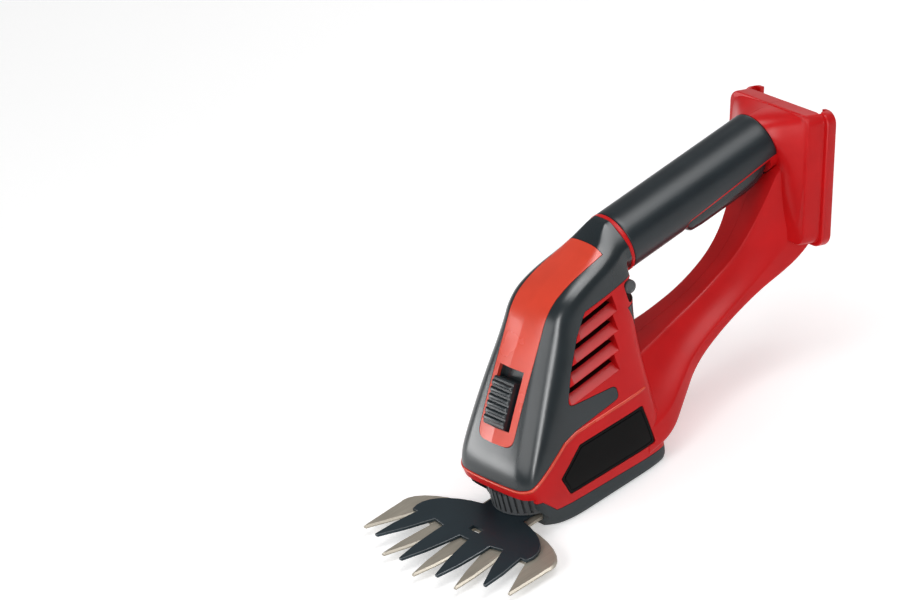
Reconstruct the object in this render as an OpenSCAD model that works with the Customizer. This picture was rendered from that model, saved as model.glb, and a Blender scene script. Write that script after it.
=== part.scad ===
// Cordless grass shears: a D-handle body with a swinging comb blade, in millimetres.
// Places are first worked out from the middle blade tip (y rearward, z up from the sole),
// and every node is then shifted so that the origin lies under the middle of the whole part.

/* [Blades] */
// Distance between the two outer fixed tips
blade_span = 124; // [112:1:132]
// Set-back of the outer tips behind the middle tip
tip_sweep = 16; // [12:1:18]
// Length of a fixed tooth from tip to root
tooth_len = 36; // [32:1:38]
// Width of a fixed tooth at its root
tooth_w = 14; // [11:0.5:15]
// Width of a moving tooth at its root
moving_tooth_w = 17; // [13:0.5:18]
// Set-back of the moving tips behind the fixed ones
moving_setback = 3.5; // [2:0.5:5]
// Thickness of each blade
blade_t = 1.6; // [1.2:0.1:2]
// Height of the underside of the fixed blade above the ground
blade_z = 4; // [3.5:0.1:4.5]
// Middle tip to the front rim of the head
blade_reach = 62; // [60:1:70]
// Diameter of the blade's pivot
pivot_d = 8; // [6:0.5:9]
// Swing of the moving blade to each side, in degrees
blade_swing = 9; // [6:0.5:10]

/* [Head] */
// Length of the head from its front rim to the rear of the sole
head_len = 95; // [92:1:102]
// Height of the bend in the front of the head
head_h = 114; // [110:1:122]
// Greatest width of the head
head_w = 66; // [62:1:72]
// Thickness of the front cover's wall
cover_t = 2.6; // [2.2:0.1:3]
// Thickness of the red strip let into the cover
strip_t = 1.8; // [1.4:0.1:2]
// Width of the red strip
strip_w = 29; // [26:0.5:31]
// Thickness of the bare plate on the side
label_t = 1.2; // [1:0.1:1.6]
// Height of a vent slot
vent_h = 3.6; // [3:0.1:4.2]
// Spacing of the vent slots
vent_pitch = 9.6; // [9:0.1:10.2]

/* [Handle] */
// Diameter over the soft grip
grip_d = 34; // [33:0.5:36]
// Length of the soft grip
grip_len = 104; // [100:1:110]
// Thickness of the soft grip
grip_t = 1.8; // [1.4:0.1:2]
// Front rim of the head to the front of the grip
grip_setback = 112; // [110:1:116]
// Height of the handle's axis at the front of the grip above the bend of the head
axis_lift = 1.5; // [0:0.5:4]
// Rise of the handle towards the rear, in degrees
axis_rise = 3.5; // [2.5:0.25:4.5]
// Thickness of the ring in front of the grip
ring_t = 2.4; // [1.6:0.1:2.8]
// Wall of the tube inside the grip
core_wall = 2.2; // [1.8:0.1:2.6]

/* [Battery plate] */
// Width of the plate
plate_w = 70; // [68:1:76]
// Height of the plate
plate_h = 75; // [74:1:80]
// Depth of the plate
plate_d = 18; // [17:0.5:20]
// Lean of the plate towards the rear, in degrees
plate_lean = 19.5; // [17:0.5:21]
// Depth of the socket in its rear
socket_d = 8; // [7.5:0.5:9]
// Width of the rim beside the socket
socket_rim = 6; // [5:0.5:7]

/* [Drive] */
// Diameter of the motor
motor_d = 35; // [33:0.5:36]
// Length of the motor
motor_len = 57; // [52:1:58]
// Module of the gear teeth
gear_module = 0.75; // [0.72:0.01:0.78]
// Width of the drive gear
gear_w = 6.5; // [5.5:0.5:7]
// Diameter of the crank's shaft
crank_d = 10; // [8:0.5:10]
// Diameter of the crank's pin
crank_pin_d = 6; // [5:0.5:6]

/* [Controls] */
// Length of the trigger's squeezed part
trigger_len = 50; // [46:1:52]
// Greatest width of the trigger
trigger_w = 25.6; // [23:0.1:26]
// Diameter of the trigger's pin
trigger_pin_d = 4; // [3.5:0.1:4.5]
// Diameter of the lock-off button
lock_d = 7.6; // [7:0.1:8]
// How far the lock-off button stands out
lock_proud = 3.4; // [3:0.1:4]
// Width of the release slider
slider_w = 17; // [15:0.5:18]
// Length of the release slider
slider_len = 29; // [26:0.5:30]
// Height of the release slider above the cover
slider_proud = 4.5; // [3.5:0.1:5]
// Travel of the release slider
slider_travel = 6; // [4:0.5:7]

/* [Fits] */
// Gap between fixed pieces that seat on each other
seat_gap = 0.15; // [0.1:0.01:0.2]
// Gap between pieces that move past each other
move_gap = 0.4; // [0.35:0.01:0.5]
// Radial clearance of a shaft in its hole
run_gap = 0.05; // [0.03:0.01:0.08]

/* [Hidden] */
$fn = 48;
overrun = 2;
far = 400;
corner_share = 1 / 4;
middle_share = 1 / 2;

// Colours
red = [0.85, 0.09, 0.07];
dark = [0.16, 0.18, 0.19];
black = [0.07, 0.07, 0.08];
steel = [0.68, 0.68, 0.68];
champagne = [0.62, 0.58, 0.52];
blued = [0.12, 0.14, 0.18];
copper = [0.75, 0.48, 0.28];

// Points, sections and skins
function mix(a, b, t) = a * (1 - t) + b * t;
function cut_ring(p) = [
  for (i = [0 : len(p) - 1])
    let (a = p[i], b = p[(i + 1) % len(p)])
      each [mix(a, b, corner_share), mix(b, a, corner_share)]
];
function cut_line(p) = concat(
  [p[0]],
  [for (i = [0 : len(p) - 2])
    each [mix(p[i], p[i + 1], corner_share), mix(p[i + 1], p[i], corner_share)]],
  [p[len(p) - 1]]
);
function column(rings, i) = [for (r = rings) r[i]];
function cut_along(rings) =
  let (n = len(rings[0]), cols = [for (i = [0 : n - 1]) cut_line(column(rings, i))])
    [for (j = [0 : len(cols[0]) - 1]) [for (i = [0 : n - 1]) cols[i][j]]];
function mirrored(half) = concat(half, [for (i = [len(half) - 1 : -1 : 0]) [-half[i][0], half[i][1]]]);

// A closed solid through rings that run anticlockwise as seen from the last ring
module skin(rings) {
  n = len(rings[0]);
  m = len(rings);
  sides = [
    for (j = [0 : m - 2], i = [0 : n - 1])
      let (k = (i + 1) % n)
        each [
          [j * n + i, (j + 1) * n + k, j * n + k],
          [j * n + i, (j + 1) * n + i, (j + 1) * n + k]
        ]
  ];
  first = [[for (i = [0 : n - 1]) i]];
  last = [[for (i = [n - 1 : -1 : 0]) (m - 1) * n + i]];
  polyhedron(points = [for (r = rings) each r], faces = concat(first, sides, last), convexity = 8);
}

// A side view outline, given as y and z, carried across the width from x0 to x1
module across(outline, x0, x1) {
  translate([x0, 0, 0]) rotate([90, 0, 90]) linear_extrude(x1 - x0) polygon(outline);
}

module rod(d, z0, z1) {
  translate([0, 0, z0]) cylinder(d = d, h = z1 - z0);
}

// A bar along x from x0 to x1
module cross_rod(d, x0, x1) {
  translate([x0, 0, 0]) rotate([0, 90, 0]) cylinder(d = d, h = x1 - x0);
}

module block(x0, x1, y0, y1, z0, z1) {
  translate([x0, y0, z0]) cube([x1 - x0, y1 - y0, z1 - z0]);
}

// Places along the part
ring_y = blade_reach + grip_setback;
axis_h = head_h + axis_lift;
head_rear = blade_reach + head_len;
pivot_setback = 26;
pivot_y = blade_reach + pivot_setback;
motor_setback = 72;
motor_y = blade_reach + motor_setback;
half_span = blade_span / 2;
half_w = head_w / 2;
core_r = grip_d / 2 - grip_t - seat_gap;
cavity_r = core_r - core_wall;
function handle_point(s, h) = [
  ring_y + s * cos(axis_rise) - h * sin(axis_rise),
  axis_h + s * sin(axis_rise) + h * cos(axis_rise)
];
module handle_frame() {
  translate([0, ring_y, axis_h]) rotate([axis_rise, 0, 0]) children();
}

// The battery plate's own frame: y is rearward through the plate, z is up along it
neck_len = 9;
plate_axis_h = 58;
plate_front = handle_point(grip_len + neck_len, 0);
plate_y = plate_front[0] + plate_d * cos(plate_lean) - plate_axis_h * sin(plate_lean);
plate_z = plate_front[1] - plate_d * sin(plate_lean) - plate_axis_h * cos(plate_lean);
module plate_frame() {
  translate([0, plate_y, plate_z]) rotate([-plate_lean, 0, 0]) children();
}
mid_y = (plate_y + plate_h * sin(plate_lean)) / 2;
module placed() {
  translate([0, -mid_y, 0]) children();
}

// Levels of the drive, from the blades up
moving_z = blade_z + blade_t + move_gap;
moving_top = moving_z + blade_t;
holder_z = moving_top + move_gap;
holder_h = 12;
holder_r = 25;
case_z = holder_z + holder_h + move_gap;
case_t = 3;
gear_z = case_z + case_t + move_gap;
pinion_over = 1.2;
motor_plate_z = gear_z + gear_w + pinion_over + move_gap;
motor_plate_t = 2;
motor_z = motor_plate_z + motor_plate_t;
motor_top = motor_z + motor_len;
bay_half_w = 23;
bay_margin = 4;

// Gear pair
gear_teeth = 44;
pinion_teeth = 14;
pressure_angle = 20;
addendum_share = 0.8;
dedendum_share = 1.15;
backlash = 0.08;
flank_low_share = 0.35;
gear_r = gear_module * gear_teeth / 2;
pinion_r = gear_module * pinion_teeth / 2;
crank_y = motor_y - gear_r - pinion_r;
crank_throw = (crank_y - pivot_y) * sin(blade_swing);
crank_disc_d = 18;
crank_disc_t = 5;
crank_top_d = 6;
crank_tip_z = moving_top + move_gap;

function roll(a) = tan(a) - a * PI / 180;
function flank(r, base_r) = roll(acos(min(1, base_r / r)));
function tooth_half(r, teeth, pitch_r) =
  let (base_r = pitch_r * cos(pressure_angle))
    (PI / (2 * teeth) + roll(pressure_angle) - flank(max(r, base_r), base_r) - backlash / pitch_r / 2)
      * 180 / PI;
function gear_outline(teeth, pitch_r) =
  let (root_r = pitch_r - dedendum_share * gear_module, tip_r = pitch_r + addendum_share * gear_module,
       low_r = mix(root_r, tip_r, flank_low_share), high_r = mix(pitch_r, tip_r, middle_share),
       radii = [root_r, low_r, pitch_r, high_r, tip_r])
    [for (k = [0 : teeth - 1], side = [-1, 1], i = [0 : len(radii) - 1])
      let (r = radii[side < 0 ? i : len(radii) - 1 - i],
           a = 360 * k / teeth + side * tooth_half(r, teeth, pitch_r))
        [r * cos(a), r * sin(a)]];

// Head: sections fan from the flat sole up to the neck behind the cover.
// Each row: front y, front z, rear y, rear z, half width, flat of the front, corner depth,
// crown of the front, rear corner depth and rear flat; y follows head_len, z head_h, the rest half_w.
head_shares = [
  [0.085, 0.000, 0.990, 0.000, 0.88, 0.60, 0.40, 0.08, 0.15, 0.70],
  [0.060, 0.035, 1.000, 0.035, 0.94, 0.64, 0.40, 0.08, 0.15, 0.75],
  [-0.015, 0.195, 1.000, 0.140, 1.02, 0.84, 0.30, 0.05, 0.20, 0.78],
  [-0.010, 0.300, 1.000, 0.270, 1.02, 0.82, 0.32, 0.05, 0.20, 0.80],
  [0.100, 0.450, 1.000, 0.400, 0.99, 0.76, 0.34, 0.05, 0.20, 0.78],
  [0.255, 0.640, 1.015, 0.540, 0.91, 0.68, 0.34, 0.05, 0.20, 0.70],
  [0.415, 0.825, 1.050, 0.670, 0.81, 0.57, 0.32, 0.05, 0.20, 0.58],
  [0.530, 0.965, 1.085, 0.750, 0.73, 0.56, 0.26, 0.05, 0.20, 0.50],
  [0.690, 1.030, 1.115, 0.790, 0.68, 0.52, 0.24, 0.05, 0.22, 0.44],
  [0.950, 1.085, 1.150, 0.825, 0.60, 0.42, 0.24, 0.06, 0.26, 0.34]
];
neck_r = grip_d / 2 + seat_gap;
neck_flat_share = 0.42;
neck_corner_share = 0.36;
neck_crown_share = 0.06;
neck_back = ring_t + seat_gap;

function section(front, rear, w, flat, corner, crown, rear_corner, rear_flat, grow) =
  let (span = rear - front, l = norm(span), along = span / l, o = front - along * grow, d = l + 2 * grow,
       half = [[flat * middle_share, crown * corner_share], [flat, crown], [w + grow, corner + grow],
               [w + grow, d * middle_share], [w + grow, d - rear_corner - grow], [rear_flat, d]])
    [for (q = cut_ring(mirrored(half))) [q[0], o[0] + along[0] * q[1], o[1] + along[1] * q[1]]];

function head_ring(row, grow) = section(
  [blade_reach + row[0] * head_len, row[1] * head_h],
  [blade_reach + row[2] * head_len, row[3] * head_h],
  row[4] * half_w, row[5] * half_w, row[6] * half_w, row[7] * half_w, row[8] * half_w, row[9] * half_w, grow
);
function neck_ring(s, grow) = section(
  handle_point(s, neck_r), handle_point(s, -neck_r), neck_r,
  neck_flat_share * neck_r, neck_corner_share * 2 * neck_r, neck_crown_share * neck_r,
  neck_corner_share * 2 * neck_r, neck_flat_share * neck_r, grow
);
// The last ring runs past the neck by the growth, so a grown head still covers the cover's end
function head_rings(grow) = cut_along(concat(
  [for (row = head_shares) head_ring(row, grow)],
  [neck_ring(-neck_back - neck_r * corner_share, grow), neck_ring(-neck_back, grow)]
));
module head_form(grow) {
  skin(head_rings(grow));
}

// Side view lines of the head, as shares of head_len and head_h
function on_head(p) = [blade_reach + p[0] * head_len, p[1] * head_h];
cover_line_shares = [
  [-0.10, 0.215], [0.04, 0.245], [0.10, 0.280], [0.305, 0.405], [0.395, 0.425], [0.735, 0.450],
  [0.740, 0.510], [0.400, 0.545], [0.490, 0.680], [0.610, 0.820], [0.715, 0.905], [0.945, 0.912],
  [1.30, 0.925]
];
module cover_zone(gap) {
  line = [for (p = cover_line_shares) on_head(p)];
  outline = concat(line, [[far, far], [-far, far], [-far, line[0][1]]]);
  translate([-far, 0, 0]) rotate([90, 0, 90]) linear_extrude(2 * far)
    offset(delta = gap) polygon(outline);
}
strip_low_share = 0.435;
strip_rear_share = 0.985;
module strip_zone(gap) {
  low = head_h * strip_low_share - gap;
  rear = blade_reach + head_len * strip_rear_share + gap;
  half = strip_w / 2 + gap;
  mid = blade_reach + head_len * middle_share;
  across([[-far, low], [mid, low], [rear, head_h], [rear, far], [-far, far]], -half, half);
}
label_shares = [[0.225, 0.245], [0.265, 0.145], [0.890, 0.135], [0.865, 0.345], [0.400, 0.350]];
module label_zone() {
  across([for (p = label_shares) on_head(p)], half_w * middle_share, far);
}
// A thin dark pad on the rear of the head, facing the hand
pad_low_share = 0.52;
pad_high_share = 0.79;
pad_w = 30;
pad_t = 1.6;
module pad_zone(gap) {
  half = pad_w / 2 + gap;
  block(-half, half, motor_y, far, pad_low_share * head_h - gap, pad_high_share * head_h + gap);
}
sole_line_shares = [[-0.30, 0.175], [0.085, 0.175], [0.165, 0.097], [1.30, 0.060]];
module sole_zone(gap) {
  line = [for (p = sole_line_shares) on_head(p) + [0, -gap]];
  across(concat(line, [[far, -overrun], [-far, -overrun]]), -far, far);
}

// The recess below the front rim, and the bay for the blades and their holder
rim_low_share = 0.205;
nose_len = 12;
nose_gap = 5;
nose_half = 27;
bay_rear_gap = 4;
tail_len = 36;
tail_w = 18;
fixed_tail_w = 40;
module blade_bay() {
  low = blade_z - seat_gap;
  block(-far, far, -far, blade_reach + nose_gap, -overrun, rim_low_share * head_h);
  block(-nose_half, nose_half, -far, blade_reach + nose_len, -overrun, rim_low_share * head_h);
  half = fixed_tail_w / 2 + move_gap;
  block(-half, half, blade_reach, pivot_y + holder_r, low, case_z);
  block(-tail_w, tail_w, pivot_y, pivot_y + tail_len + bay_rear_gap, low, case_z);
  translate([0, pivot_y, 0]) rod(2 * (holder_r + seat_gap), low, case_z);
}
module drive_bay() {
  block(-bay_half_w, bay_half_w, crank_y - gear_r - bay_margin, motor_y + motor_d / 2 + bay_margin / 2,
        case_z, motor_z);
  translate([0, motor_y, 0]) rod(motor_d + 2 * seat_gap, motor_z - overrun, motor_top + bay_margin);
}

// Vent slots: nearly level, between the cover's edge and the rear post
vent_count = 4;
vent_low_share = 0.575;
vent_front_shares = [0.47, 0.52, 0.60, 0.69];
vent_rear_shares = [0.835, 0.87, 0.91, 0.945];
vent_inner_share = 0.42;
vent_rise = 4;
module vents() {
  for (i = [0 : vent_count - 1], side = [-1, 1]) {
    z = vent_low_share * head_h + i * vent_pitch;
    front = blade_reach + vent_front_shares[i] * head_len;
    rear = blade_reach + vent_rear_shares[i] * head_len;
    mirror([side < 0 ? 1 : 0, 0, 0]) translate([vent_inner_share * half_w, front, z])
      rotate([vent_rise, 0, 0]) cube([half_w, rear - front, vent_h]);
  }
}

// Release slider's frame on the sloping front: y is up the slope, z is out of it
slope_low = on_head([head_shares[4][0], head_shares[4][1]]);
slope_high = on_head([head_shares[5][0], head_shares[5][1]]);
slope = slope_high - slope_low;
slope_angle = atan2(slope[1], slope[0]);
slider_share = 0.62;
slider_at = mix(slope_low, slope_high, slider_share);
pocket_side = 1.6;
pocket_d = 5;
module slope_frame() {
  translate([0, slider_at[0], slider_at[1]]) rotate([slope_angle, 0, 0]) children();
}
module slider_pocket(margin) {
  half = slider_w / 2 + pocket_side + margin;
  low = slider_len / 2 + move_gap + margin;
  high = slider_len / 2 + slider_travel + move_gap + margin;
  slope_frame() block(-half, half, -low, high, -pocket_d, far / 4);
}

// Lower bar: sections along its run; y follows its length, z head_h and widths half_w
bar_len = plate_y - head_rear;
bar_shares = [
  [-0.12, 0.070, 0.470, 1.00], [0.02, 0.090, 0.500, 0.98], [0.14, 0.205, 0.515, 0.86],
  [0.27, 0.305, 0.530, 0.68], [0.47, 0.380, 0.570, 0.58], [0.68, 0.440, 0.645, 0.57],
  [0.84, 0.460, 0.790, 0.62], [0.93, 0.495, 0.960, 0.74], [1.00, 0.560, 1.000, 0.80]
];
// Half section of the bar, as shares of its half width and height: broad and flat below, narrow above
bar_section_shares = [[0.70, 0.00], [1.00, 0.05], [1.00, 0.36], [0.62, 0.72], [0.50, 1.00]];
function bar_ring(row) =
  let (y = head_rear + row[0] * bar_len, z0 = row[1] * head_h, z1 = row[2] * head_h, w = row[3] * half_w,
       half = [for (p = bar_section_shares) [p[0] * w, mix(z0, z1, p[1])]])
    [for (q = cut_ring(mirrored(half))) [-q[0], y, q[1]]];
bar_foot_shares = [[1.38, 0.300], [1.56, 0.345], [1.56, 0.420], [1.38, 0.420]];
bar_foot_w = 22;
module lower_bar() {
  skin(cut_along([for (row = bar_shares) bar_ring(row)]));
  across([for (p = bar_foot_shares) on_head(p)], -bar_foot_w / 2, bar_foot_w / 2);
}

// Rear: a plate with rounded corners, and the flare that joins it to the handle
plate_corner_r = 7;
front_inset = 2;
top_inset = 0.5;
rim_share = 0.36;
flare_steps = 24;
corner_steps = 6;
module rounded_plate(w, h, r, d) {
  centres = [[w / 2 - r, h - r], [-w / 2 + r, h - r], [-w / 2 + r, r], [w / 2 - r, r]];
  rotate([90, 0, 0]) linear_extrude(d) polygon([
    for (k = [0 : len(centres) - 1], i = [0 : corner_steps])
      let (a = 90 * (k + i / corner_steps))
        centres[k] + r * [cos(a), sin(a)]
  ]);
}
module plate_form() {
  rim_d = plate_d * rim_share;
  plate_frame() {
    rounded_plate(plate_w, plate_h, plate_corner_r, rim_d);
    translate([0, -rim_d / 2, front_inset]) rounded_plate(
      plate_w - 2 * front_inset, plate_h - front_inset - top_inset, plate_corner_r, plate_d - rim_d / 2
    );
  }
}
flare_w_share = 0.46;
flare_low_share = 0.18;
flare_high_share = 0.97;
flare_mid_share = 0.35;
function flare_circle(s, r) = [
  for (i = [0 : flare_steps - 1])
    let (a = 360 * i / flare_steps, p = handle_point(s, r * sin(a)))
      [-r * cos(a), p[0], p[1]]
];
function flare_square(y) = [
  for (i = [0 : flare_steps - 1])
    let (a = 360 * i / flare_steps, m = mix(1, max(abs(cos(a)), abs(sin(a))), middle_share),
         z = plate_h * mix(flare_low_share, flare_high_share, middle_share * (1 + sin(a) / m)),
         x = -plate_w * flare_w_share * cos(a) / m)
      [x, plate_y + y * cos(plate_lean) + z * sin(plate_lean),
       plate_z - y * sin(plate_lean) + z * cos(plate_lean)]
];
function blend_rings(a, b, t) = [for (i = [0 : len(a) - 1]) mix(a[i], b[i], t)];
module flare() {
  neck = flare_circle(grip_len + seat_gap, grip_d / 2 - seat_gap);
  swell = flare_circle(grip_len + neck_len * middle_share, grip_d / 2);
  base = flare_square(-plate_d + overrun);
  skin([neck, blend_rings(neck, swell, middle_share), blend_rings(swell, base, flare_mid_share), base]);
}
rail_d = 2.6;
rail_lip = 3.5;
socket_floor_h = 8;
module battery_socket() {
  half = plate_w / 2 - socket_rim;
  plate_frame() {
    block(-half, half, -socket_d, -rail_d, socket_floor_h, plate_h + overrun);
    block(-half + rail_lip, half - rail_lip, -socket_d, overrun, socket_floor_h, plate_h + overrun);
  }
}

// Handle's inner tube, its hollow and the trigger's room
module handle_core(gap) {
  handle_frame() rotate([-90, 0, 0])
    rod(2 * (core_r + gap), -ring_t - overrun / 2 - gap, grip_len + neck_len);
}
// The space that the soft grip takes round the tube
module grip_room() {
  handle_frame() rotate([-90, 0, 0]) rod(grip_d + 2 * seat_gap, 0, grip_len + seat_gap);
}
cavity_front = -6;
cavity_rear_gap = 4;
module handle_cavity() {
  handle_frame() rotate([-90, 0, 0]) rod(2 * cavity_r, cavity_front, grip_len - cavity_rear_gap);
}

// Trigger outline along the handle: s rearward from the ring, h above the axis
trigger_front = 40;
trigger_rear = trigger_front + trigger_len;
split_front_h = -7;
split_rear_h = -3.2;
trigger_drop_front = -19;
trigger_drop_rear = -22;
trigger_nose = 5;
trigger_room = 6.5;
trigger_tail = 22;
trigger_tongue_w = 12;
trigger_pin_inset = 4.5;
trigger_pin_s = trigger_rear + trigger_tail - trigger_pin_inset;
trigger_pin_h = -11.5;
trigger_round = 8;
function split_h(s) = mix(split_front_h, split_rear_h, (s - trigger_front) / trigger_len);
trigger_outline = [
  [trigger_front, -grip_d / 2 + grip_t], [trigger_front + trigger_nose, trigger_drop_front],
  [trigger_rear - trigger_nose, trigger_drop_rear], [trigger_rear, trigger_drop_rear + trigger_nose],
  [trigger_rear, split_h(trigger_rear) - move_gap], [trigger_front, split_h(trigger_front) - move_gap]
];
// The lower part of the handle below the split line, with room above it for the squeeze
module trigger_zone(up, side) {
  front = trigger_front - side;
  rear = trigger_rear + trigger_nose;
  low = trigger_drop_rear - 2 * move_gap;
  handle_frame() across([
    [front, low], [front, split_h(front) + up], [rear, split_h(rear) + up], [rear, low]
  ], -far, far);
}
module trigger_slot() {
  half = trigger_tongue_w / 2 + move_gap;
  handle_frame()
    block(-half, half, trigger_rear - overrun, trigger_rear + trigger_tail + 2 * move_gap,
          trigger_drop_rear, trigger_pin_h + trigger_room + 2 * move_gap);
}
module at_trigger_pin() {
  handle_frame() translate([0, trigger_pin_s, trigger_pin_h]) children();
}
trigger_pin_len = 26;

// Lock-off button's place, low on the neck
lock_shares = [1.075, 0.865];
lock_at = on_head(lock_shares);
lock_half = neck_r - seat_gap;
module at_lock() {
  translate([0, lock_at[0], lock_at[1]]) children();
}

// Screws
screw_head_d = 6.4;
screw_head_h = 2.4;
screw_d = 3.4;
screw_seat = 9;
screw_grip = 9;
screw_shares = [[0.205, 0.270], [1.060, 0.300], [1.010, 0.730], [1.680, 0.480], [2.200, 0.640]];
module each_screw() {
  for (p = screw_shares) translate([0, on_head(p)[0], on_head(p)[1]]) children();
}
module screw_holes() {
  each_screw() {
    cross_rod(screw_d + 2 * seat_gap, -screw_seat - overrun, screw_grip + seat_gap);
    cross_rod(screw_head_d + 2 * seat_gap, -far, -screw_seat);
  }
}
sole_screw_len = 14;
sole_screw_shares = [[0.55, 0.76], [0.885, 0.55]];
sole_screw_head_z = 1.2;
module each_sole_screw() {
  for (p = sole_screw_shares, side = [-1, 1])
    translate([side * p[1] * half_w, blade_reach + p[0] * head_len, 0]) children();
}
module sole_screw_holes() {
  each_sole_screw() {
    rod(screw_d + 2 * seat_gap, -overrun, sole_screw_len + sole_screw_head_z);
    rod(screw_head_d + 2 * seat_gap, -overrun, sole_screw_head_z + screw_head_h);
  }
}

// Housing halves
module housing() {
  difference() {
    union() {
      difference() {
        head_form(0);
        difference() {
          cover_zone(seat_gap);
          head_form(-cover_t - seat_gap);
        }
        sole_zone(-seat_gap);
        difference() {
          pad_zone(seat_gap);
          translate([0, -pad_t - seat_gap, 0]) head_form(0);
        }
      }
      difference() {
        lower_bar();
        sole_zone(-seat_gap);
        grip_room();
      }
      handle_core(0);
      flare();
      plate_form();
    }
    difference() {
      label_zone();
      head_form(-label_t - seat_gap);
    }
    blade_bay();
    drive_bay();
    vents();
    slider_pocket(seat_gap);
    handle_cavity();
    trigger_zone(trigger_room, move_gap);
    trigger_slot();
    at_trigger_pin() cross_rod(trigger_pin_d + 2 * run_gap, -trigger_pin_len / 2, trigger_pin_len / 2);
    at_lock() cross_rod(lock_d + 2 * run_gap, -far, far);
    battery_socket();
    screw_holes();
    sole_screw_holes();
  }
}
module housing_left() {
  color(red) placed() intersection() {
    housing();
    block(seat_gap / 2, far, -far, far, -far, far);
  }
}
module housing_right() {
  color(red) placed() intersection() {
    housing();
    block(-far, -seat_gap / 2, -far, far, -far, far);
  }
}

module front_cover() {
  color(dark) placed() difference() {
    intersection() {
      head_form(0);
      cover_zone(0);
    }
    head_form(-cover_t);
    difference() {
      strip_zone(seat_gap);
      head_form(-strip_t);
    }
    slider_pocket(0);
    handle_core(seat_gap);
  }
}
module cover_strip() {
  color(red) placed() difference() {
    intersection() {
      head_form(0);
      strip_zone(0);
    }
    head_form(-strip_t + seat_gap);
    slider_pocket(0);
  }
}
module label_plate() {
  color(black) placed() difference() {
    intersection() {
      head_form(0);
      label_zone();
    }
    head_form(-label_t);
  }
}
module rear_pad() {
  color(dark) placed() difference() {
    intersection() {
      head_form(0);
      pad_zone(0);
    }
    translate([0, -pad_t, 0]) head_form(0);
  }
}
module sole_plate() {
  color(dark) placed() difference() {
    intersection() {
      head_form(0);
      sole_zone(0);
    }
    blade_bay();
    sole_screw_holes();
  }
}

// Handle pieces
module grip_ring() {
  color(red) placed() handle_frame() rotate([-90, 0, 0]) difference() {
    rod(grip_d + 2 * seat_gap, -ring_t, 0);
    rod(2 * (core_r + seat_gap), -ring_t - overrun, overrun);
  }
}
grip_crown = 0.5;
module grip_sleeve() {
  color(dark) placed() difference() {
    handle_frame() rotate([-90, 0, 0]) rotate_extrude() polygon([
      [core_r + seat_gap, seat_gap], [grip_d / 2 - grip_crown, seat_gap], [grip_d / 2, seat_gap + grip_crown],
      [grip_d / 2, grip_len - grip_crown], [grip_d / 2 - grip_crown, grip_len], [core_r + seat_gap, grip_len]
    ]);
    trigger_zone(0, move_gap);
    trigger_slot();
  }
}

// Controls
module trigger() {
  half = trigger_w / 2;
  inner = half - trigger_round;
  shoulder = trigger_drop_front + trigger_round;
  color(dark) placed() difference() {
    union() {
      handle_frame() intersection() {
        across(trigger_outline, -half, half);
        translate([0, trigger_rear + overrun, 0]) rotate([90, 0, 0]) linear_extrude(trigger_len + far / 4) {
          translate([-half, shoulder]) square([trigger_w, grip_d]);
          translate([-inner, trigger_drop_rear]) square([2 * inner, grip_d]);
          for (x = [-inner, inner]) translate([x, shoulder]) circle(trigger_round);
        }
      }
      handle_frame() block(-trigger_tongue_w / 2, trigger_tongue_w / 2, trigger_rear - trigger_nose,
                           trigger_rear + trigger_tail - 2 * move_gap, trigger_pin_h - trigger_nose,
                           trigger_pin_h + trigger_nose);
    }
    at_trigger_pin() cross_rod(trigger_pin_d + 2 * run_gap, -half, half);
  }
}
module trigger_pin() {
  color(steel) placed() at_trigger_pin()
    cross_rod(trigger_pin_d, -trigger_pin_len / 2 + seat_gap, trigger_pin_len / 2 - seat_gap);
}

// Trigger spring: one tube wound between the trigger's top and the roof of the handle's hollow
spring_r = 3.2;
spring_wire_d = 0.9;
spring_turns = 6;
spring_ring_steps = 8;
spring_sides = 6;
spring_at = 62;
spring_out_r = spring_r + spring_wire_d / 2;
spring_low = handle_point(spring_at, split_h(spring_at))[1] - move_gap / 4;
spring_high = handle_point(spring_at, sqrt(pow(cavity_r, 2) - pow(spring_out_r, 2)))[1] - move_gap;
spring_rise = (spring_high - spring_low - spring_wire_d) / (spring_turns * spring_ring_steps);
function spring_point(j) =
  let (a = 360 * j / spring_ring_steps)
    [spring_r * cos(a), spring_r * sin(a), spring_low + spring_wire_d / 2 + j * spring_rise];
spring_last = spring_turns * spring_ring_steps;
spring_reach = [
  for (j = [0 : spring_last], k = [j + spring_ring_steps / 2 : spring_last])
    norm(spring_point(j) - spring_point(k))
];
echo(spring_gap = min(spring_reach) - spring_wire_d);
module trigger_spring() {
  rings = [
    for (j = [0 : spring_last])
      let (a = 360 * j / spring_ring_steps, c = spring_point(j), out = [cos(a), sin(a), 0])
        [for (i = [0 : spring_sides - 1])
          let (b = 360 * i / spring_sides)
            c + spring_wire_d / 2 * (out * cos(b) - [0, 0, 1] * sin(b))]
  ];
  color(steel) placed() translate([0, handle_point(spring_at, 0)[0], 0]) skin(rings);
}
module lock_button() {
  color(dark) placed() at_lock() {
    cross_rod(lock_d, -lock_half + lock_proud, lock_half + lock_proud);
  }
}
rib_count = 7;
rib_h = 1;
module release_slider() {
  half = slider_w / 2;
  pitch = slider_len / (rib_count + 1);
  color(dark) placed() slope_frame() {
    block(-half, half, -slider_len / 2, slider_len / 2, -pocket_d + move_gap, slider_proud - rib_h);
    for (i = [1 : rib_count])
      translate([0, -slider_len / 2 + i * pitch, slider_proud - rib_h]) rotate([0, 90, 0])
        translate([0, 0, -half + rib_h]) cylinder(r = rib_h, h = slider_w - 2 * rib_h);
  }
}
switch_len = 24;
switch_w = 11;
switch_h = 9;
switch_at = 48;
switch_rise = sqrt(pow(cavity_r - seat_gap, 2) - pow(switch_w / 2, 2)) - switch_h;
module switch_block() {
  color(black) placed() handle_frame()
    block(-switch_w / 2, switch_w / 2, switch_at - switch_len, switch_at,
          switch_rise, switch_rise + switch_h);
}
board_len = 26;
board_t = 1.6;
board_rise = 5;
board_at = 70;
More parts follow.
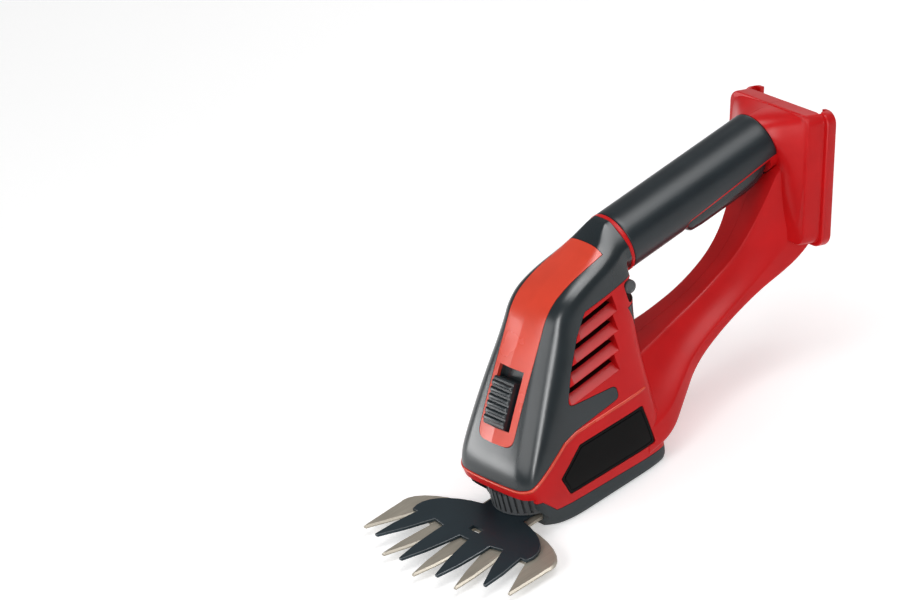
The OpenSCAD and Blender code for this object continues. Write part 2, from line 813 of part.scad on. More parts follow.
module control_board() {
  half = sqrt(pow(cavity_r, 2) - pow(board_rise, 2)) - seat_gap;
  color([0.1, 0.35, 0.2]) placed() handle_frame()
    block(-half, half, board_at, board_at + board_len, board_rise - board_t, board_rise);
}

// Battery contacts
terminal_side = 10.5;
terminal_w = plate_w - 2 * (socket_rim + rail_lip + terminal_side);
terminal_h = 22;
terminal_d = 3;
terminal_at = 16;
contact_count = 3;
contact_t = 0.8;
contact_pitch = terminal_w / contact_count;
contact_d = 4;
module terminal_block() {
  color(black) placed() plate_frame()
    block(-terminal_w / 2, terminal_w / 2, -socket_d, -socket_d + terminal_d,
          terminal_at, terminal_at + terminal_h);
}
module contact_blades() {
  inset = (terminal_h - 2 * contact_d) / 2;
  color(copper) placed() plate_frame()
    for (i = [0 : contact_count - 1]) {
      x = (i - (contact_count - 1) / 2) * contact_pitch;
      block(x - contact_t / 2, x + contact_t / 2, -socket_d + terminal_d, -socket_d + terminal_d + contact_d,
            terminal_at + contact_d, terminal_at + contact_d + 2 * inset);
    }
}

// Blades: teeth on a web that rounds back at the shoulders into a narrow tail
fixed_teeth = 5;
moving_teeth = 4;
tooth_pitch = blade_span / (fixed_teeth - 1);
shoulder_out = 1.5;
shoulder_y = 44;
shoulder_d = 21;
root_lap = 3;
tip_half = 1;
arc_steps = 20;
arc_dip = 12;
web_out = 0.4;
tooth_edge_shares = [[0, 0], [0.52, 0.35], [0.84, 0.72], [1, 1]];
tooth_lean_share = 0.65;
outer_lean = 5;
function sweep(x) = tip_sweep * pow(x / half_span, 2);
// A tooth whose root leans towards the pivot
function lean_of(x) = tan(tooth_lean_share * atan2(x, pivot_y - sweep(x)));
module tooth(x, y0, w, l) {
  lean = lean_of(x);
  right = [for (p = tooth_edge_shares) [mix(tip_half, w / 2, p[0]) - lean * l * p[1], l * p[1]]];
  left = [for (i = [len(right) - 1 : -1 : 0])
    let (p = tooth_edge_shares[i]) [-mix(tip_half, w / 2, p[0]) - lean * l * p[1], l * p[1]]];
  translate([x, y0]) polygon(concat(right, left));
}
module outer_tooth() {
  outside = half_span + shoulder_out;
  inside = half_span - outer_lean;
  polygon([
    [half_span - tip_half, tip_sweep], [half_span + tip_half, tip_sweep],
    [outside, shoulder_y - tooth_len / 4], [outside, shoulder_y],
    [inside - tooth_w, shoulder_y + root_lap], [inside - tooth_w / 2, tip_sweep + tooth_len / 2]
  ]);
}
module web(half, root) {
  arc = [for (i = [0 : arc_steps]) let (a = mix(-arc_dip, 180 + arc_dip, i / arc_steps))
    [half * cos(a), shoulder_y + shoulder_d * sin(a)]];
  low = arc[0];
  front = [for (i = [0 : arc_steps]) let (x = low[0] * (2 * i / arc_steps - 1))
    [x, min(low[1], root + sweep(x))]];
  polygon(concat(arc, [for (i = [1 : arc_steps - 1]) front[i]]));
}
window_w = 9;
window_l = 3.6;
window_y = 43;
module window() {
  translate([-window_w / 2, window_y]) square([window_w, window_l]);
}
module fixed_blade() {
  root = tooth_len - root_lap;
  color(champagne) placed() translate([0, 0, blade_z]) difference() {
    linear_extrude(blade_t) difference() {
      union() {
        for (i = [1 : fixed_teeth - 2]) {
          x = (i - (fixed_teeth - 1) / 2) * tooth_pitch;
          tooth(x, sweep(x), tooth_w, tooth_len);
        }
        for (side = [0, 1]) mirror([side, 0]) outer_tooth();
        web(half_span + shoulder_out + web_out, root);
        translate([-fixed_tail_w / 2, shoulder_y]) square([fixed_tail_w, pivot_y - shoulder_y]);
        translate([0, pivot_y]) circle(d = fixed_tail_w);
      }
      window();
    }
    translate([0, pivot_y, 0]) rod(pivot_d, -overrun, blade_t + overrun);
  }
}
moving_half_share = 0.80;
module moving_blade() {
  root = tooth_len - root_lap + moving_setback;
  slot_w = crank_pin_d + 2 * run_gap;
  color(blued) placed() translate([0, 0, moving_z]) difference() {
    linear_extrude(blade_t) difference() {
      union() {
        for (i = [0 : moving_teeth - 1]) {
          x = (i - (moving_teeth - 1) / 2) * tooth_pitch;
          tooth(x, sweep(x) + moving_setback, moving_tooth_w, tooth_len);
        }
        web(half_span * moving_half_share, root);
        translate([-tail_w / 2, shoulder_y]) square([tail_w, pivot_y + tail_len - tail_w / 2 - shoulder_y]);
        translate([0, pivot_y + tail_len - tail_w / 2]) circle(d = tail_w);
        translate([0, pivot_y]) circle(d = fixed_tail_w * moving_half_share);
        translate([-fixed_tail_w * moving_half_share / 2, shoulder_y])
          square([fixed_tail_w * moving_half_share, pivot_y - shoulder_y]);
      }
      window();
      translate([-slot_w / 2, crank_y - crank_throw]) square([slot_w, 2 * crank_throw]);
      for (side = [-1, 1]) translate([0, crank_y + side * crank_throw]) circle(d = slot_w);
    }
    translate([0, pivot_y, 0]) rod(pivot_d + 2 * run_gap, -overrun, blade_t + overrun);
  }
}
pivot_head_d = 13;
pivot_head_h = 2.2;
module blade_pivot() {
  color(steel) placed() translate([0, pivot_y, 0]) {
    rod(pivot_d, blade_z, holder_z + holder_h);
  }
}
module pivot_washer() {
  color(steel) placed() translate([0, pivot_y, 0]) difference() {
    rod(pivot_head_d, holder_z + holder_h - pivot_head_h, holder_z + holder_h);
    rod(pivot_d, 0, far);
  }
}
rib_notches = 40;
notch_w = 1.5;
notch_d = 1.1;
module blade_holder() {
  color(dark) placed() translate([0, pivot_y, 0]) difference() {
    rod(2 * holder_r, holder_z, holder_z + holder_h);
    for (i = [0 : rib_notches - 1]) rotate([0, 0, 360 * i / rib_notches])
      translate([holder_r - notch_d, -notch_w / 2, holder_z + notch_d])
        cube([2 * notch_d, notch_w, holder_h]);
    rod(pivot_d, 0, far);
    rod(pivot_head_d, holder_z + holder_h - pivot_head_h, far);
    translate([0, crank_y - pivot_y, 0]) rod(crank_disc_d + 2 * move_gap, 0, far);
  }
}

// Drive train
bearing_t = 2;
function bay_front() = crank_y - gear_r - bay_margin + seat_gap;
function bay_rear() = motor_y + motor_d / 2 + bay_margin / 2 - seat_gap;
module gear_case() {
  half = bay_half_w - seat_gap;
  color(dark) placed() difference() {
    block(-half, half, bay_front(), bay_rear(), case_z, case_z + case_t);
    translate([0, crank_y, 0]) rod(crank_d + 2 * run_gap, 0, far);
  }
}
module crank_shaft() {
  color(steel) placed() translate([0, crank_y, 0]) {
    rod(crank_d, case_z - move_gap, gear_z);
    rod(crank_disc_d, case_z - move_gap - crank_disc_t, case_z - move_gap);
    rod(crank_top_d, gear_z, motor_plate_z + motor_plate_t);
    translate([0, crank_throw, 0]) rod(crank_pin_d, crank_tip_z, case_z - move_gap - crank_disc_t);
  }
}
module drive_gear() {
  color([0.9, 0.88, 0.8]) placed() translate([0, crank_y, gear_z]) difference() {
    linear_extrude(gear_w) rotate(90) polygon(gear_outline(gear_teeth, gear_r));
    rod(crank_top_d, -overrun, gear_w + overrun);
  }
}
module crank_bearing() {
  color(copper) placed() translate([0, crank_y, 0]) difference() {
    rod(crank_top_d + 2 * bearing_t, motor_plate_z, motor_plate_z + motor_plate_t);
    rod(crank_top_d + 2 * run_gap, 0, far);
  }
}
motor_hole_d = 12;
motor_screw_d = 3;
motor_screw_r = 12;
module each_motor_screw() {
  for (side = [-1, 1]) translate([side * motor_screw_r, motor_y, 0]) children();
}
motor_thread_len = 4;
motor_screw_head_h = 1;
module motor_plate() {
  half = bay_half_w - seat_gap;
  color(steel) placed() difference() {
    block(-half, half, bay_front(), bay_rear(), motor_plate_z, motor_plate_z + motor_plate_t);
    translate([0, crank_y, 0]) rod(crank_top_d + 2 * bearing_t, 0, far);
    translate([0, motor_y, 0]) rod(motor_hole_d, 0, far);
    each_motor_screw() rod(motor_screw_d, 0, far);
  }
}
motor_shaft_d = 3.2;
motor_cap_t = 8;
module motor_can() {
  color(steel) placed() difference() {
    translate([0, motor_y, 0]) rod(motor_d, motor_z, motor_top - motor_cap_t);
    translate([0, motor_y, 0]) rod(motor_shaft_d + 2 * run_gap, 0, motor_top - 2 * motor_cap_t);
    each_motor_screw() rod(motor_screw_d, 0, motor_z + motor_thread_len);
  }
}
module motor_cap() {
  color(black) placed() translate([0, motor_y, 0]) {
    rod(motor_d, motor_top - motor_cap_t, motor_top - motor_cap_t / 2);
    rod(motor_d - motor_cap_t, motor_top - motor_cap_t / 2, motor_top);
  }
}
module motor_shaft() {
  color(steel) placed() translate([0, motor_y, 0])
    rod(motor_shaft_d, gear_z, motor_top - 2 * motor_cap_t - move_gap);
}
module motor_pinion() {
  color(copper) placed() translate([0, motor_y, gear_z]) difference() {
    linear_extrude(gear_w + pinion_over) rotate(270 + 180 / pinion_teeth)
      polygon(gear_outline(pinion_teeth, pinion_r));
    rod(motor_shaft_d, -overrun, far);
  }
}
module motor_screws() {
  color(steel) placed() each_motor_screw() {
    rod(motor_screw_d, motor_plate_z, motor_z + motor_thread_len);
    rod(2 * motor_screw_d, motor_plate_z - motor_screw_head_h, motor_plate_z);
  }
}

// Fasteners
module housing_screws() {
  color(steel) placed() each_screw() {
    cross_rod(screw_d, -screw_seat, screw_grip);
    cross_rod(screw_head_d, -screw_seat - screw_head_h, -screw_seat);
  }
}
module sole_screws() {
  color(steel) placed() each_sole_screw() {
    rod(screw_d, sole_screw_head_z + screw_head_h, sole_screw_len);
    rod(screw_head_d, sole_screw_head_z, sole_screw_head_z + screw_head_h);
  }
}

housing_left();
housing_right();
front_cover();
cover_strip();
label_plate();
rear_pad();
sole_plate();
grip_ring();
grip_sleeve();
trigger();
trigger_pin();
trigger_spring();
lock_button();
release_slider();
switch_block();
control_board();
terminal_block();
contact_blades();
fixed_blade();
moving_blade();
blade_pivot();
pivot_washer();
blade_holder();
gear_case();
crank_shaft();
drive_gear();
crank_bearing();
motor_plate();
motor_can();
motor_cap();
motor_shaft();
motor_pinion();
motor_screws();
housing_screws();
sole_screws();
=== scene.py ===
import bpy
import bmesh
import math
import numpy as np
from mathutils import Matrix, Vector
from mathutils.bvhtree import BVHTree


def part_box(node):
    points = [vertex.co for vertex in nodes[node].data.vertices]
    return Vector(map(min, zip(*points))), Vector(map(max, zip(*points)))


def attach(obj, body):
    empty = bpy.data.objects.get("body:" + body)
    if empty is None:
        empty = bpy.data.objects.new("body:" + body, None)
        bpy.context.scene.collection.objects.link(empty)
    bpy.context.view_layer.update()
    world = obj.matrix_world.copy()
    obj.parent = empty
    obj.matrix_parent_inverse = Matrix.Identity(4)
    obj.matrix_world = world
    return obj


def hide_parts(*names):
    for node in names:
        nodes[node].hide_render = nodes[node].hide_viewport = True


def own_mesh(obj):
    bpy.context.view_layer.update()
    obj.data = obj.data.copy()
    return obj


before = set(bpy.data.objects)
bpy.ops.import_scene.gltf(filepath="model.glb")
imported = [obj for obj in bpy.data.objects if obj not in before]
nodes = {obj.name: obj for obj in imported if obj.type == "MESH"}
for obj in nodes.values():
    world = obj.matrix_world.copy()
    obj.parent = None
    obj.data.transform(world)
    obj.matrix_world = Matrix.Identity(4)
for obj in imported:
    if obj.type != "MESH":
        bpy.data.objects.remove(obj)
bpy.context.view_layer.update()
scene = bpy.context.scene
mm, perMetre = 0.001, 1000
midY = -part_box("fixed_blade")[0].y * perMetre  # from the middle tip back to the row frame's origin, in mm
far = 400.0  # past the whole part, in mm as all that follows
beside = 60.0  # past the sides of the head
past = 2.0  # how far a cutting tool runs past a face
onSkin = 0.05  # nearer to the head's surface than this counts as on it
scraps = []  # cutting tools and half-made forms, cleared at the end
print("stage: frame loaded,", len(nodes), "nodes")


# Meshes from arrays: points in mm behind the middle tip, put into the row frame in metres

def linked(name, data):
    made = bpy.data.objects.new(name, data)
    scene.collection.objects.link(made)
    return made


def inMm(point):  # back from the row frame
    return Vector((point.x * perMetre, point.y * perMetre + midY, point.z * perMetre))


def solid(name, points, faces):
    mesh = bpy.data.meshes.new(name)
    mesh.from_pydata(((np.asarray(points, float) - (0, midY, 0)) * mm).tolist(), [], faces)
    work = bmesh.new()
    work.from_mesh(mesh)
    if work.calc_volume(signed=True) < 0:
        bmesh.ops.reverse_faces(work, faces=work.faces)
    work.to_mesh(mesh)
    work.free()
    made = linked(name, mesh)
    scraps.append(made)
    return made


def fullTurn(sides):
    return np.linspace(0, 2 * np.pi, sides, endpoint=False)


def ringQuads(count, size):  # each point of each ring with its neighbours on this ring and the next
    spot = np.arange(count * size).reshape(count, size)
    side = np.roll(spot, -1, axis=1)
    return spot, np.stack([spot[:-1], side[:-1], side[1:], spot[1:]], axis=-1).reshape(-1, 4)


def skin(name, rings):  # closed rings joined in order, both ends capped
    spot, quads = ringQuads(*rings.shape[:2])
    faces = quads.tolist() + [spot[0][::-1].tolist(), spot[-1].tolist()]
    return solid(name, rings.reshape(-1, 3), faces)


def placedBy(matrix, points):
    points = np.asarray(points, float)
    if matrix is None:
        return points
    turn = np.array(matrix)
    return points @ turn[:3, :3].T + turn[:3, 3]


def prism(name, outline, x0, x1, matrix=None):  # a side view outline (y, z) carried from x0 to x1
    outline = np.asarray(outline, float)
    rings = np.stack([np.column_stack([np.full(len(outline), x), outline]) for x in (x0, x1)])
    return skin(name, placedBy(matrix, rings))


def box(name, x0, x1, y0, y1, z0, z1, matrix=None):
    return prism(name, [(y0, z0), (y1, z0), (y1, z1), (y0, z1)], x0, x1, matrix)


def lathe(name, profile, matrix, sides=96):  # (radius, along) turned round the local y axis, ends capped
    angle = fullTurn(sides)
    rings = np.stack([
        np.column_stack([r * np.cos(angle), np.full(sides, s), r * np.sin(angle)]) for r, s in profile
    ])
    return skin(name, placedBy(matrix, rings))


def tube(name, profile, matrix, sides):  # a closed profile turned round the local y axis
    angle = fullTurn(sides)
    r, s = np.asarray(profile, float).T
    points = np.stack([np.outer(np.cos(angle), r), np.tile(s, (sides, 1)), np.outer(np.sin(angle), r)], -1)
    spot = np.arange(sides * len(r)).reshape(sides, len(r))
    nextRing, nextSpot = np.roll(spot, -1, axis=0), np.roll(spot, -1, axis=1)
    quads = np.stack([spot, nextRing, np.roll(nextRing, -1, axis=1), nextSpot], axis=-1).reshape(-1, 4)
    return solid(name, placedBy(matrix, points.reshape(-1, 3)), quads.tolist())


def crossFrame(y, z):  # its local y axis runs across the part
    return Matrix.Translation((0, y, z)) @ Matrix.Rotation(-math.pi / 2, 4, "Z")


def postFrame(x, y):  # its local y axis runs up
    return Matrix.Translation((x, y, 0)) @ Matrix.Rotation(math.pi / 2, 4, "X")


def crossRod(name, diameter, x0, x1, y, z):
    return lathe(name, [(diameter / 2, x0), (diameter / 2, x1)], crossFrame(y, z), sides=48)


def postRod(name, diameter, z0, z1, x, y):
    return lathe(name, [(diameter / 2, z0), (diameter / 2, z1)], postFrame(x, y), sides=64)


def carve(piece, *steps):  # each step is an operation and the tools that it takes
    for operation, *tools in steps:
        for tool in tools:
            cut = piece.modifiers.new("cut", "BOOLEAN")
            cut.operation, cut.object, cut.solver = operation, tool, "MANIFOLD"
    graph = bpy.context.evaluated_depsgraph_get()
    fresh = bpy.data.meshes.new_from_object(piece.evaluated_get(graph))
    piece.modifiers.clear()
    spent, piece.data = piece.data, fresh
    bpy.data.meshes.remove(spent)
    return piece


def cleaned(piece, reach=2e-6, crumb=1e-6):  # merges doubled points, and drops crumbs that a cut left behind
    work = bmesh.new()
    work.from_mesh(piece.data)
    bmesh.ops.remove_doubles(work, verts=work.verts, dist=reach)
    bmesh.ops.dissolve_degenerate(work, edges=work.edges, dist=reach)
    waiting, crumbs = set(work.faces), []
    while waiting:
        front = [waiting.pop()]
        island = list(front)
        while front:
            near = {face for edge in front.pop().edges for face in edge.link_faces} & waiting
            waiting -= near
            front += near
            island += near
        if sum(face.calc_area() for face in island) < crumb:
            crumbs += island
    bmesh.ops.delete(work, geom=crumbs, context="FACES")
    work.to_mesh(piece.data)
    work.free()


def dress(piece, name, body, look, replaced, sharpAngle=32):
    if piece in scraps:
        scraps.remove(piece)
    piece.name = name
    cleaned(piece)
    mesh = piece.data
    mesh.shade_smooth()
    mesh.set_sharp_from_angle(angle=math.radians(sharpAngle))
    mesh.materials.clear()
    mesh.materials.append(finish[look])
    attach(piece, body)
    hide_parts(replaced)
    return piece


# Outlines in side view

def roundedOutline(points, radius, steps=5, most=0.45):  # corners become arcs, within that share of their edges
    points = np.asarray(points, float)
    t = np.linspace(0, 1, steps)[:, None]
    made = []
    for before, corner, after in zip(np.roll(points, 1, 0), points, np.roll(points, -1, 0)):
        a, b = before - corner, after - corner
        la, lb = np.linalg.norm(a), np.linalg.norm(b)
        a, b = a / la, b / lb
        half = math.acos(np.clip(a @ b, -1, 1)) / 2
        reach = min(radius / max(math.tan(half), 1e-3), la * most, lb * most)
        p, q = corner + a * reach, corner + b * reach
        made.append((1 - t) ** 2 * p + 2 * t * (1 - t) * corner + t ** 2 * q)
    return np.vstack(made)


def grownOutline(points, gap):  # every edge moved outwards by the gap
    points = np.asarray(points, float)
    after = np.roll(points, -1, 0)
    edge = after - points
    area = np.sum(points[:, 0] * after[:, 1] - points[:, 1] * after[:, 0])
    normal = np.column_stack([edge[:, 1], -edge[:, 0]]) * np.sign(area)
    normal /= np.linalg.norm(normal, axis=1)[:, None]
    bisector = normal + np.roll(normal, 1, 0)
    scale = 2 / np.maximum(np.sum(bisector ** 2, axis=1), 0.5)
    return points + gap * bisector * scale[:, None]


# Head, bar and handle as nets of section points, smoothed by cutting corners

form = {
    "bladeReach": 62.0, "headLen": 95.0, "headH": 114.0, "halfW": 33.0,
    "gripD": 34.0, "gripLen": 104.0, "gripT": 1.8, "ringT": 2.4, "gripSetback": 112.0,
    "axisH": 115.5, "axisRise": math.radians(3.5), "seat": 0.15, "move": 0.4, "run": 0.05,
    "plateW": 70.0, "plateH": 75.0, "plateD": 18.0, "plateLean": math.radians(19.5),
    "neckLen": 9.0, "plateAxisH": 58.0, "coverT": 2.6, "stripT": 1.8, "labelT": 1.2, "cuts": 3,
    "neckLead": 0.25, "neckFlat": 0.42, "neckCorner": 0.72, "neckCrown": 0.06,  # shares of the neck's radius
    "tubeWall": 2.2, "tubeLead": 1.0, "cavityFront": -6.0, "cavityStop": 4.0,
}
ringY = form["bladeReach"] + form["gripSetback"]
coreR = form["gripD"] / 2 - form["gripT"] - form["seat"]
cavityR = coreR - form["tubeWall"]
loose = 2 * form["seat"]


def handlePoint(s, h):  # along the handle's axis and square to it
    rise = form["axisRise"]
    return np.array([
        ringY + s * math.cos(rise) - h * math.sin(rise),
        form["axisH"] + s * math.sin(rise) + h * math.cos(rise),
    ])


handleFrame = Matrix.Translation((0, ringY, form["axisH"])) @ Matrix.Rotation(form["axisRise"], 4, "X")
plateFront = handlePoint(form["gripLen"] + form["neckLen"], 0)
lean = form["plateLean"]
plateY = plateFront[0] + form["plateD"] * math.cos(lean) - form["plateAxisH"] * math.sin(lean)
plateZ = plateFront[1] - form["plateD"] * math.sin(lean) - form["plateAxisH"] * math.cos(lean)
plateFrame = Matrix.Translation((0, plateY, plateZ)) @ Matrix.Rotation(-lean, 4, "X")
headRear = form["bladeReach"] + form["headLen"]

# Sections from the sole up: front y and z, rear y and z as shares of the head's length and height, then half
# width, flat, corner, crown, rear corner and rear flat as shares of its half width
headNet = np.array([
    [0.085, 0.000, 0.990, 0.000, 0.88, 0.60, 0.40, 0.08, 0.15, 0.70],
    [0.060, 0.035, 1.000, 0.035, 0.94, 0.64, 0.40, 0.08, 0.15, 0.75],
    [-0.015, 0.195, 1.000, 0.140, 1.02, 0.84, 0.30, 0.05, 0.20, 0.78],
    [-0.010, 0.300, 1.000, 0.270, 1.02, 0.82, 0.32, 0.05, 0.20, 0.80],
    [0.100, 0.450, 1.000, 0.400, 0.99, 0.76, 0.34, 0.05, 0.20, 0.78],
    [0.255, 0.640, 1.015, 0.540, 0.91, 0.68, 0.34, 0.05, 0.20, 0.70],
    [0.415, 0.825, 1.050, 0.670, 0.81, 0.57, 0.32, 0.05, 0.20, 0.58],
    [0.530, 0.965, 1.085, 0.750, 0.73, 0.56, 0.26, 0.05, 0.20, 0.50],
    [0.690, 1.030, 1.115, 0.790, 0.68, 0.52, 0.24, 0.05, 0.22, 0.44],
    [0.950, 1.085, 1.150, 0.825, 0.60, 0.42, 0.24, 0.06, 0.26, 0.34],
])


def onHead(shares):  # shares of the head's length and height as side view points
    return np.asarray(shares, float) * (form["headLen"], form["headH"]) + (form["bladeReach"], 0)


def cutAround(net, times):  # corner cutting round every closed ring
    for _ in range(times):
        after = np.roll(net, -1, axis=1)
        net = np.stack([0.75 * net + 0.25 * after, 0.25 * net + 0.75 * after], axis=2)
        net = net.reshape(net.shape[0], -1, 3)
    return net


def cutAlong(net, times):  # corner cutting from ring to ring, the end rings kept
    for _ in range(times):
        a, b = net[:-1], net[1:]
        inner = np.stack([0.75 * a + 0.25 * b, 0.25 * a + 0.75 * b], axis=1).reshape(-1, *net.shape[1:])
        net = np.concatenate([net[:1], inner, net[-1:]])
    return net


def mirrored(half):  # a closed ring from the half at positive x
    return np.vstack([half, half[::-1] * (-1, 1)])


def sectionRing(front, rear, w, flat, corner, crown, rearCorner, rearFlat, grow):
    length = np.linalg.norm(rear - front)  # (x, depth) of each point, laid out from the front to the rear
    along = (rear - front) / length
    start, depth = front - along * grow, length + 2 * grow
    ring = mirrored(np.array([
        [flat / 2, crown / 4], [flat, crown], [w + grow, corner + grow], [w + grow, depth / 2],
        [w + grow, depth - rearCorner - grow], [rearFlat, depth],
    ]))
    return np.column_stack([ring[:, 0], start[0] + along[0] * ring[:, 1], start[1] + along[1] * ring[:, 1]])


def headRings(grow):  # the sections from the sole up, then two round the neck
    rings = []
    for row in headNet:
        front, rear = onHead([row[:2], row[2:4]])
        rings.append(sectionRing(front, rear, *(row[4:] * form["halfW"]), grow))
    r = form["gripD"] / 2 + form["seat"]
    end = -form["ringT"] - form["seat"]
    flat, corner, crown = form["neckFlat"] * r, form["neckCorner"] * r, form["neckCrown"] * r
    for s in (end - form["neckLead"] * r, end):
        front, rear = handlePoint(s, r), handlePoint(s, -r)
        rings.append(sectionRing(front, rear, r, flat, corner, crown, corner, flat, grow))
    return cutAlong(cutAround(np.array(rings), form["cuts"]), form["cuts"])


def headForm(grow=0):
    return skin("headForm", headRings(grow))


# Finishes: every one is built from nodes on Object coordinates

plainLook = {
    "stretch": (1, 1, 1), "cloudScale": 45.0, "cloudDetail": 3.0, "grainScale": 2200.0, "grainDetail": 2.0,
    "stops": (0.3, 0.7), "range": (0.93, 1.07), "bump": 0.15, "bumpHeight": 0.00008, "metal": 0.0,
    "specular": 0.5, "roughBy": "cloud", "sheen": 0.0, "sheenRough": 0.4,
}


def finishOf(name, look):
    look = {**plainLook, **look}
    made = bpy.data.materials.new(name)
    made.use_nodes = True
    tree = made.node_tree
    link = tree.links.new
    shader = tree.nodes["Principled BSDF"]

    def node(kind, **values):
        fresh = tree.nodes.new(kind)
        for key, value in values.items():
            if key in fresh.inputs:
                fresh.inputs[key].default_value = value
            else:
                setattr(fresh, key, value)
        return fresh

    coords = node("ShaderNodeTexCoord").outputs["Object"]
    stretch = node("ShaderNodeMapping", Scale=look["stretch"])
    cloud = node("ShaderNodeTexNoise", Scale=look["cloudScale"], Detail=look["cloudDetail"])
    grain = node("ShaderNodeTexNoise", Scale=look["grainScale"], Detail=look["grainDetail"])
    link(coords, stretch.inputs["Vector"])
    link(coords, cloud.inputs["Vector"])
    link(stretch.outputs["Vector"], grain.inputs["Vector"])
    base = np.array(look["color"])
    ramp = node("ShaderNodeValToRGB")
    for stop, place, gain in zip(ramp.color_ramp.elements, look["stops"], look["range"]):
        stop.position = place
        stop.color = (*np.clip(base * gain, 0, 1), 1)
    link(cloud.outputs["Fac"], ramp.inputs["Fac"])
    colour = ramp.outputs["Color"]
    if "speck" in look:  # fine light and dark grains over the cloud
        mixer = node("ShaderNodeMix", data_type="RGBA", blend_type="OVERLAY")
        mixer.inputs["Factor"].default_value = look["speck"]
        link(colour, mixer.inputs["A"])
        link(grain.outputs["Fac"], mixer.inputs["B"])
        colour = mixer.outputs["Result"]
    if "edge" in look:  # lighter where the piece's own edge attribute is high
        worn = node("ShaderNodeAttribute", attribute_name="edge")
        mixer = node("ShaderNodeMix", data_type="RGBA")
        mixer.inputs["B"].default_value = (*look["edge"], 1)
        link(worn.outputs["Fac"], mixer.inputs["Factor"])
        link(colour, mixer.inputs["A"])
        colour = mixer.outputs["Result"]
    link(colour, shader.inputs["Base Color"])
    span = node("ShaderNodeMapRange")
    span.inputs["To Min"].default_value, span.inputs["To Max"].default_value = look["rough"]
    link({"cloud": cloud, "grain": grain}[look["roughBy"]].outputs["Fac"], span.inputs["Value"])
    link(span.outputs["Result"], shader.inputs["Roughness"])
    bump = node("ShaderNodeBump", Strength=look["bump"], Distance=look["bumpHeight"])
    link(grain.outputs["Fac"], bump.inputs["Height"])
    link(bump.outputs["Normal"], shader.inputs["Normal"])
    shader.inputs["Metallic"].default_value = look["metal"]
    shader.inputs["Specular IOR Level"].default_value = look["specular"]
    if look["sheen"]:
        shader.inputs["Sheen Weight"].default_value = look["sheen"]
        shader.inputs["Sheen Roughness"].default_value = look["sheenRough"]
    made.diffuse_color = (*base, 1)
    return made


looks = {
    "redPlastic": {"color": (0.66, 0.010, 0.012), "rough": (0.28, 0.37), "bump": 0.10, "specular": 0.20},
    "stripPlastic": {"color": (0.78, 0.060, 0.026), "rough": (0.22, 0.30), "bump": 0.05},
    "darkPlastic": {"color": (0.012, 0.019, 0.023), "rough": (0.22, 0.28), "bump": 0.06, "range": (0.85, 1.15)},
    "solePlastic": {"color": (0.021, 0.031, 0.035), "rough": (0.44, 0.56), "bump": 0.30, "range": (0.85, 1.15),
                    "specular": 0.32},
    "softGrip": {"color": (0.010, 0.017, 0.022), "rough": (0.30, 0.38), "bump": 0.10, "range": (0.9, 1.1),
                 "specular": 0.42, "sheen": 0.05},
    "blackPlate": {"color": (0.002, 0.002, 0.002), "rough": (0.34, 0.44), "bump": 0.05, "range": (0.8, 1.3),
                   "specular": 0.09},
    # painted shade: a near-black red for faces deep between the fins and in the lock's well, where shade falls
    "paintedShade": {"color": (0.022, 0.003, 0.003), "rough": (0.6, 0.7), "bump": 0.10, "specular": 0.1},
    "bareSteel": {"color": (0.44, 0.40, 0.33), "rough": (0.36, 0.50), "roughBy": "grain", "metal": 0.5,
                  "stretch": (1, 0.03, 1), "range": (0.88, 1.1), "grainScale": 1800.0, "bump": 0.16,
                  "speck": 0.25, "edge": (0.47, 0.43, 0.36)},
    "motorSteel": {"color": (0.10, 0.10, 0.105), "rough": (0.30, 0.42), "metal": 1.0, "bump": 0.08},
    "coatedSteel": {"color": (0.018, 0.034, 0.045), "rough": (0.30, 0.42), "metal": 0.35,
                    "stretch": (1, 0.05, 1), "grainScale": 1500.0, "bump": 0.08, "edge": (0.10, 0.11, 0.12)},
    "zincSteel": {"color": (0.56, 0.57, 0.58), "rough": (0.24, 0.36), "metal": 1.0, "bump": 0.08},
    "bronze": {"color": (0.62, 0.38, 0.16), "rough": (0.26, 0.38), "metal": 1.0, "bump": 0.08},
    "gearPlastic": {"color": (0.70, 0.68, 0.60), "rough": (0.36, 0.46), "bump": 0.08},
    "blackPlastic": {"color": (0.018, 0.018, 0.020), "rough": (0.40, 0.52), "bump": 0.2, "range": (0.85, 1.2)},
    "lugPlastic": {"color": (0.085, 0.090, 0.095), "rough": (0.34, 0.44), "bump": 0.12, "specular": 0.4},
    "boardGreen": {"color": (0.020, 0.13, 0.055), "rough": (0.28, 0.40), "bump": 0.12},
}
finish = {name: finishOf(name, look) for name, look in looks.items()}
plainNodes = {  # the finish of every CAD node, also of those that a piece stands for
    "zincSteel": "trigger_pin trigger_spring blade_pivot pivot_washer crank_shaft motor_plate motor_shaft "
                 "motor_screws housing_screws sole_screws",
    "motorSteel": "motor_can", "lugPlastic": "blade_holder", "gearPlastic": "drive_gear",
    "bronze": "crank_bearing motor_pinion contact_blades",
    "blackPlastic": "switch_block terminal_block motor_cap gear_case", "boardGreen": "control_board",
    "redPlastic": "housing_left housing_right cover_strip grip_ring",
    "darkPlastic": "front_cover sole_plate trigger lock_button release_slider rear_pad",
    "softGrip": "grip_sleeve", "blackPlate": "label_plate",
    "bareSteel": "fixed_blade", "coatedSteel": "moving_blade",
}
for look, names in plainNodes.items():
    for name in names.split():
        nodes[name].data.materials.clear()
        nodes[name].data.materials.append(finish[look])
print("stage: finishes", len(finish))


# Zones of the head's layers in side view

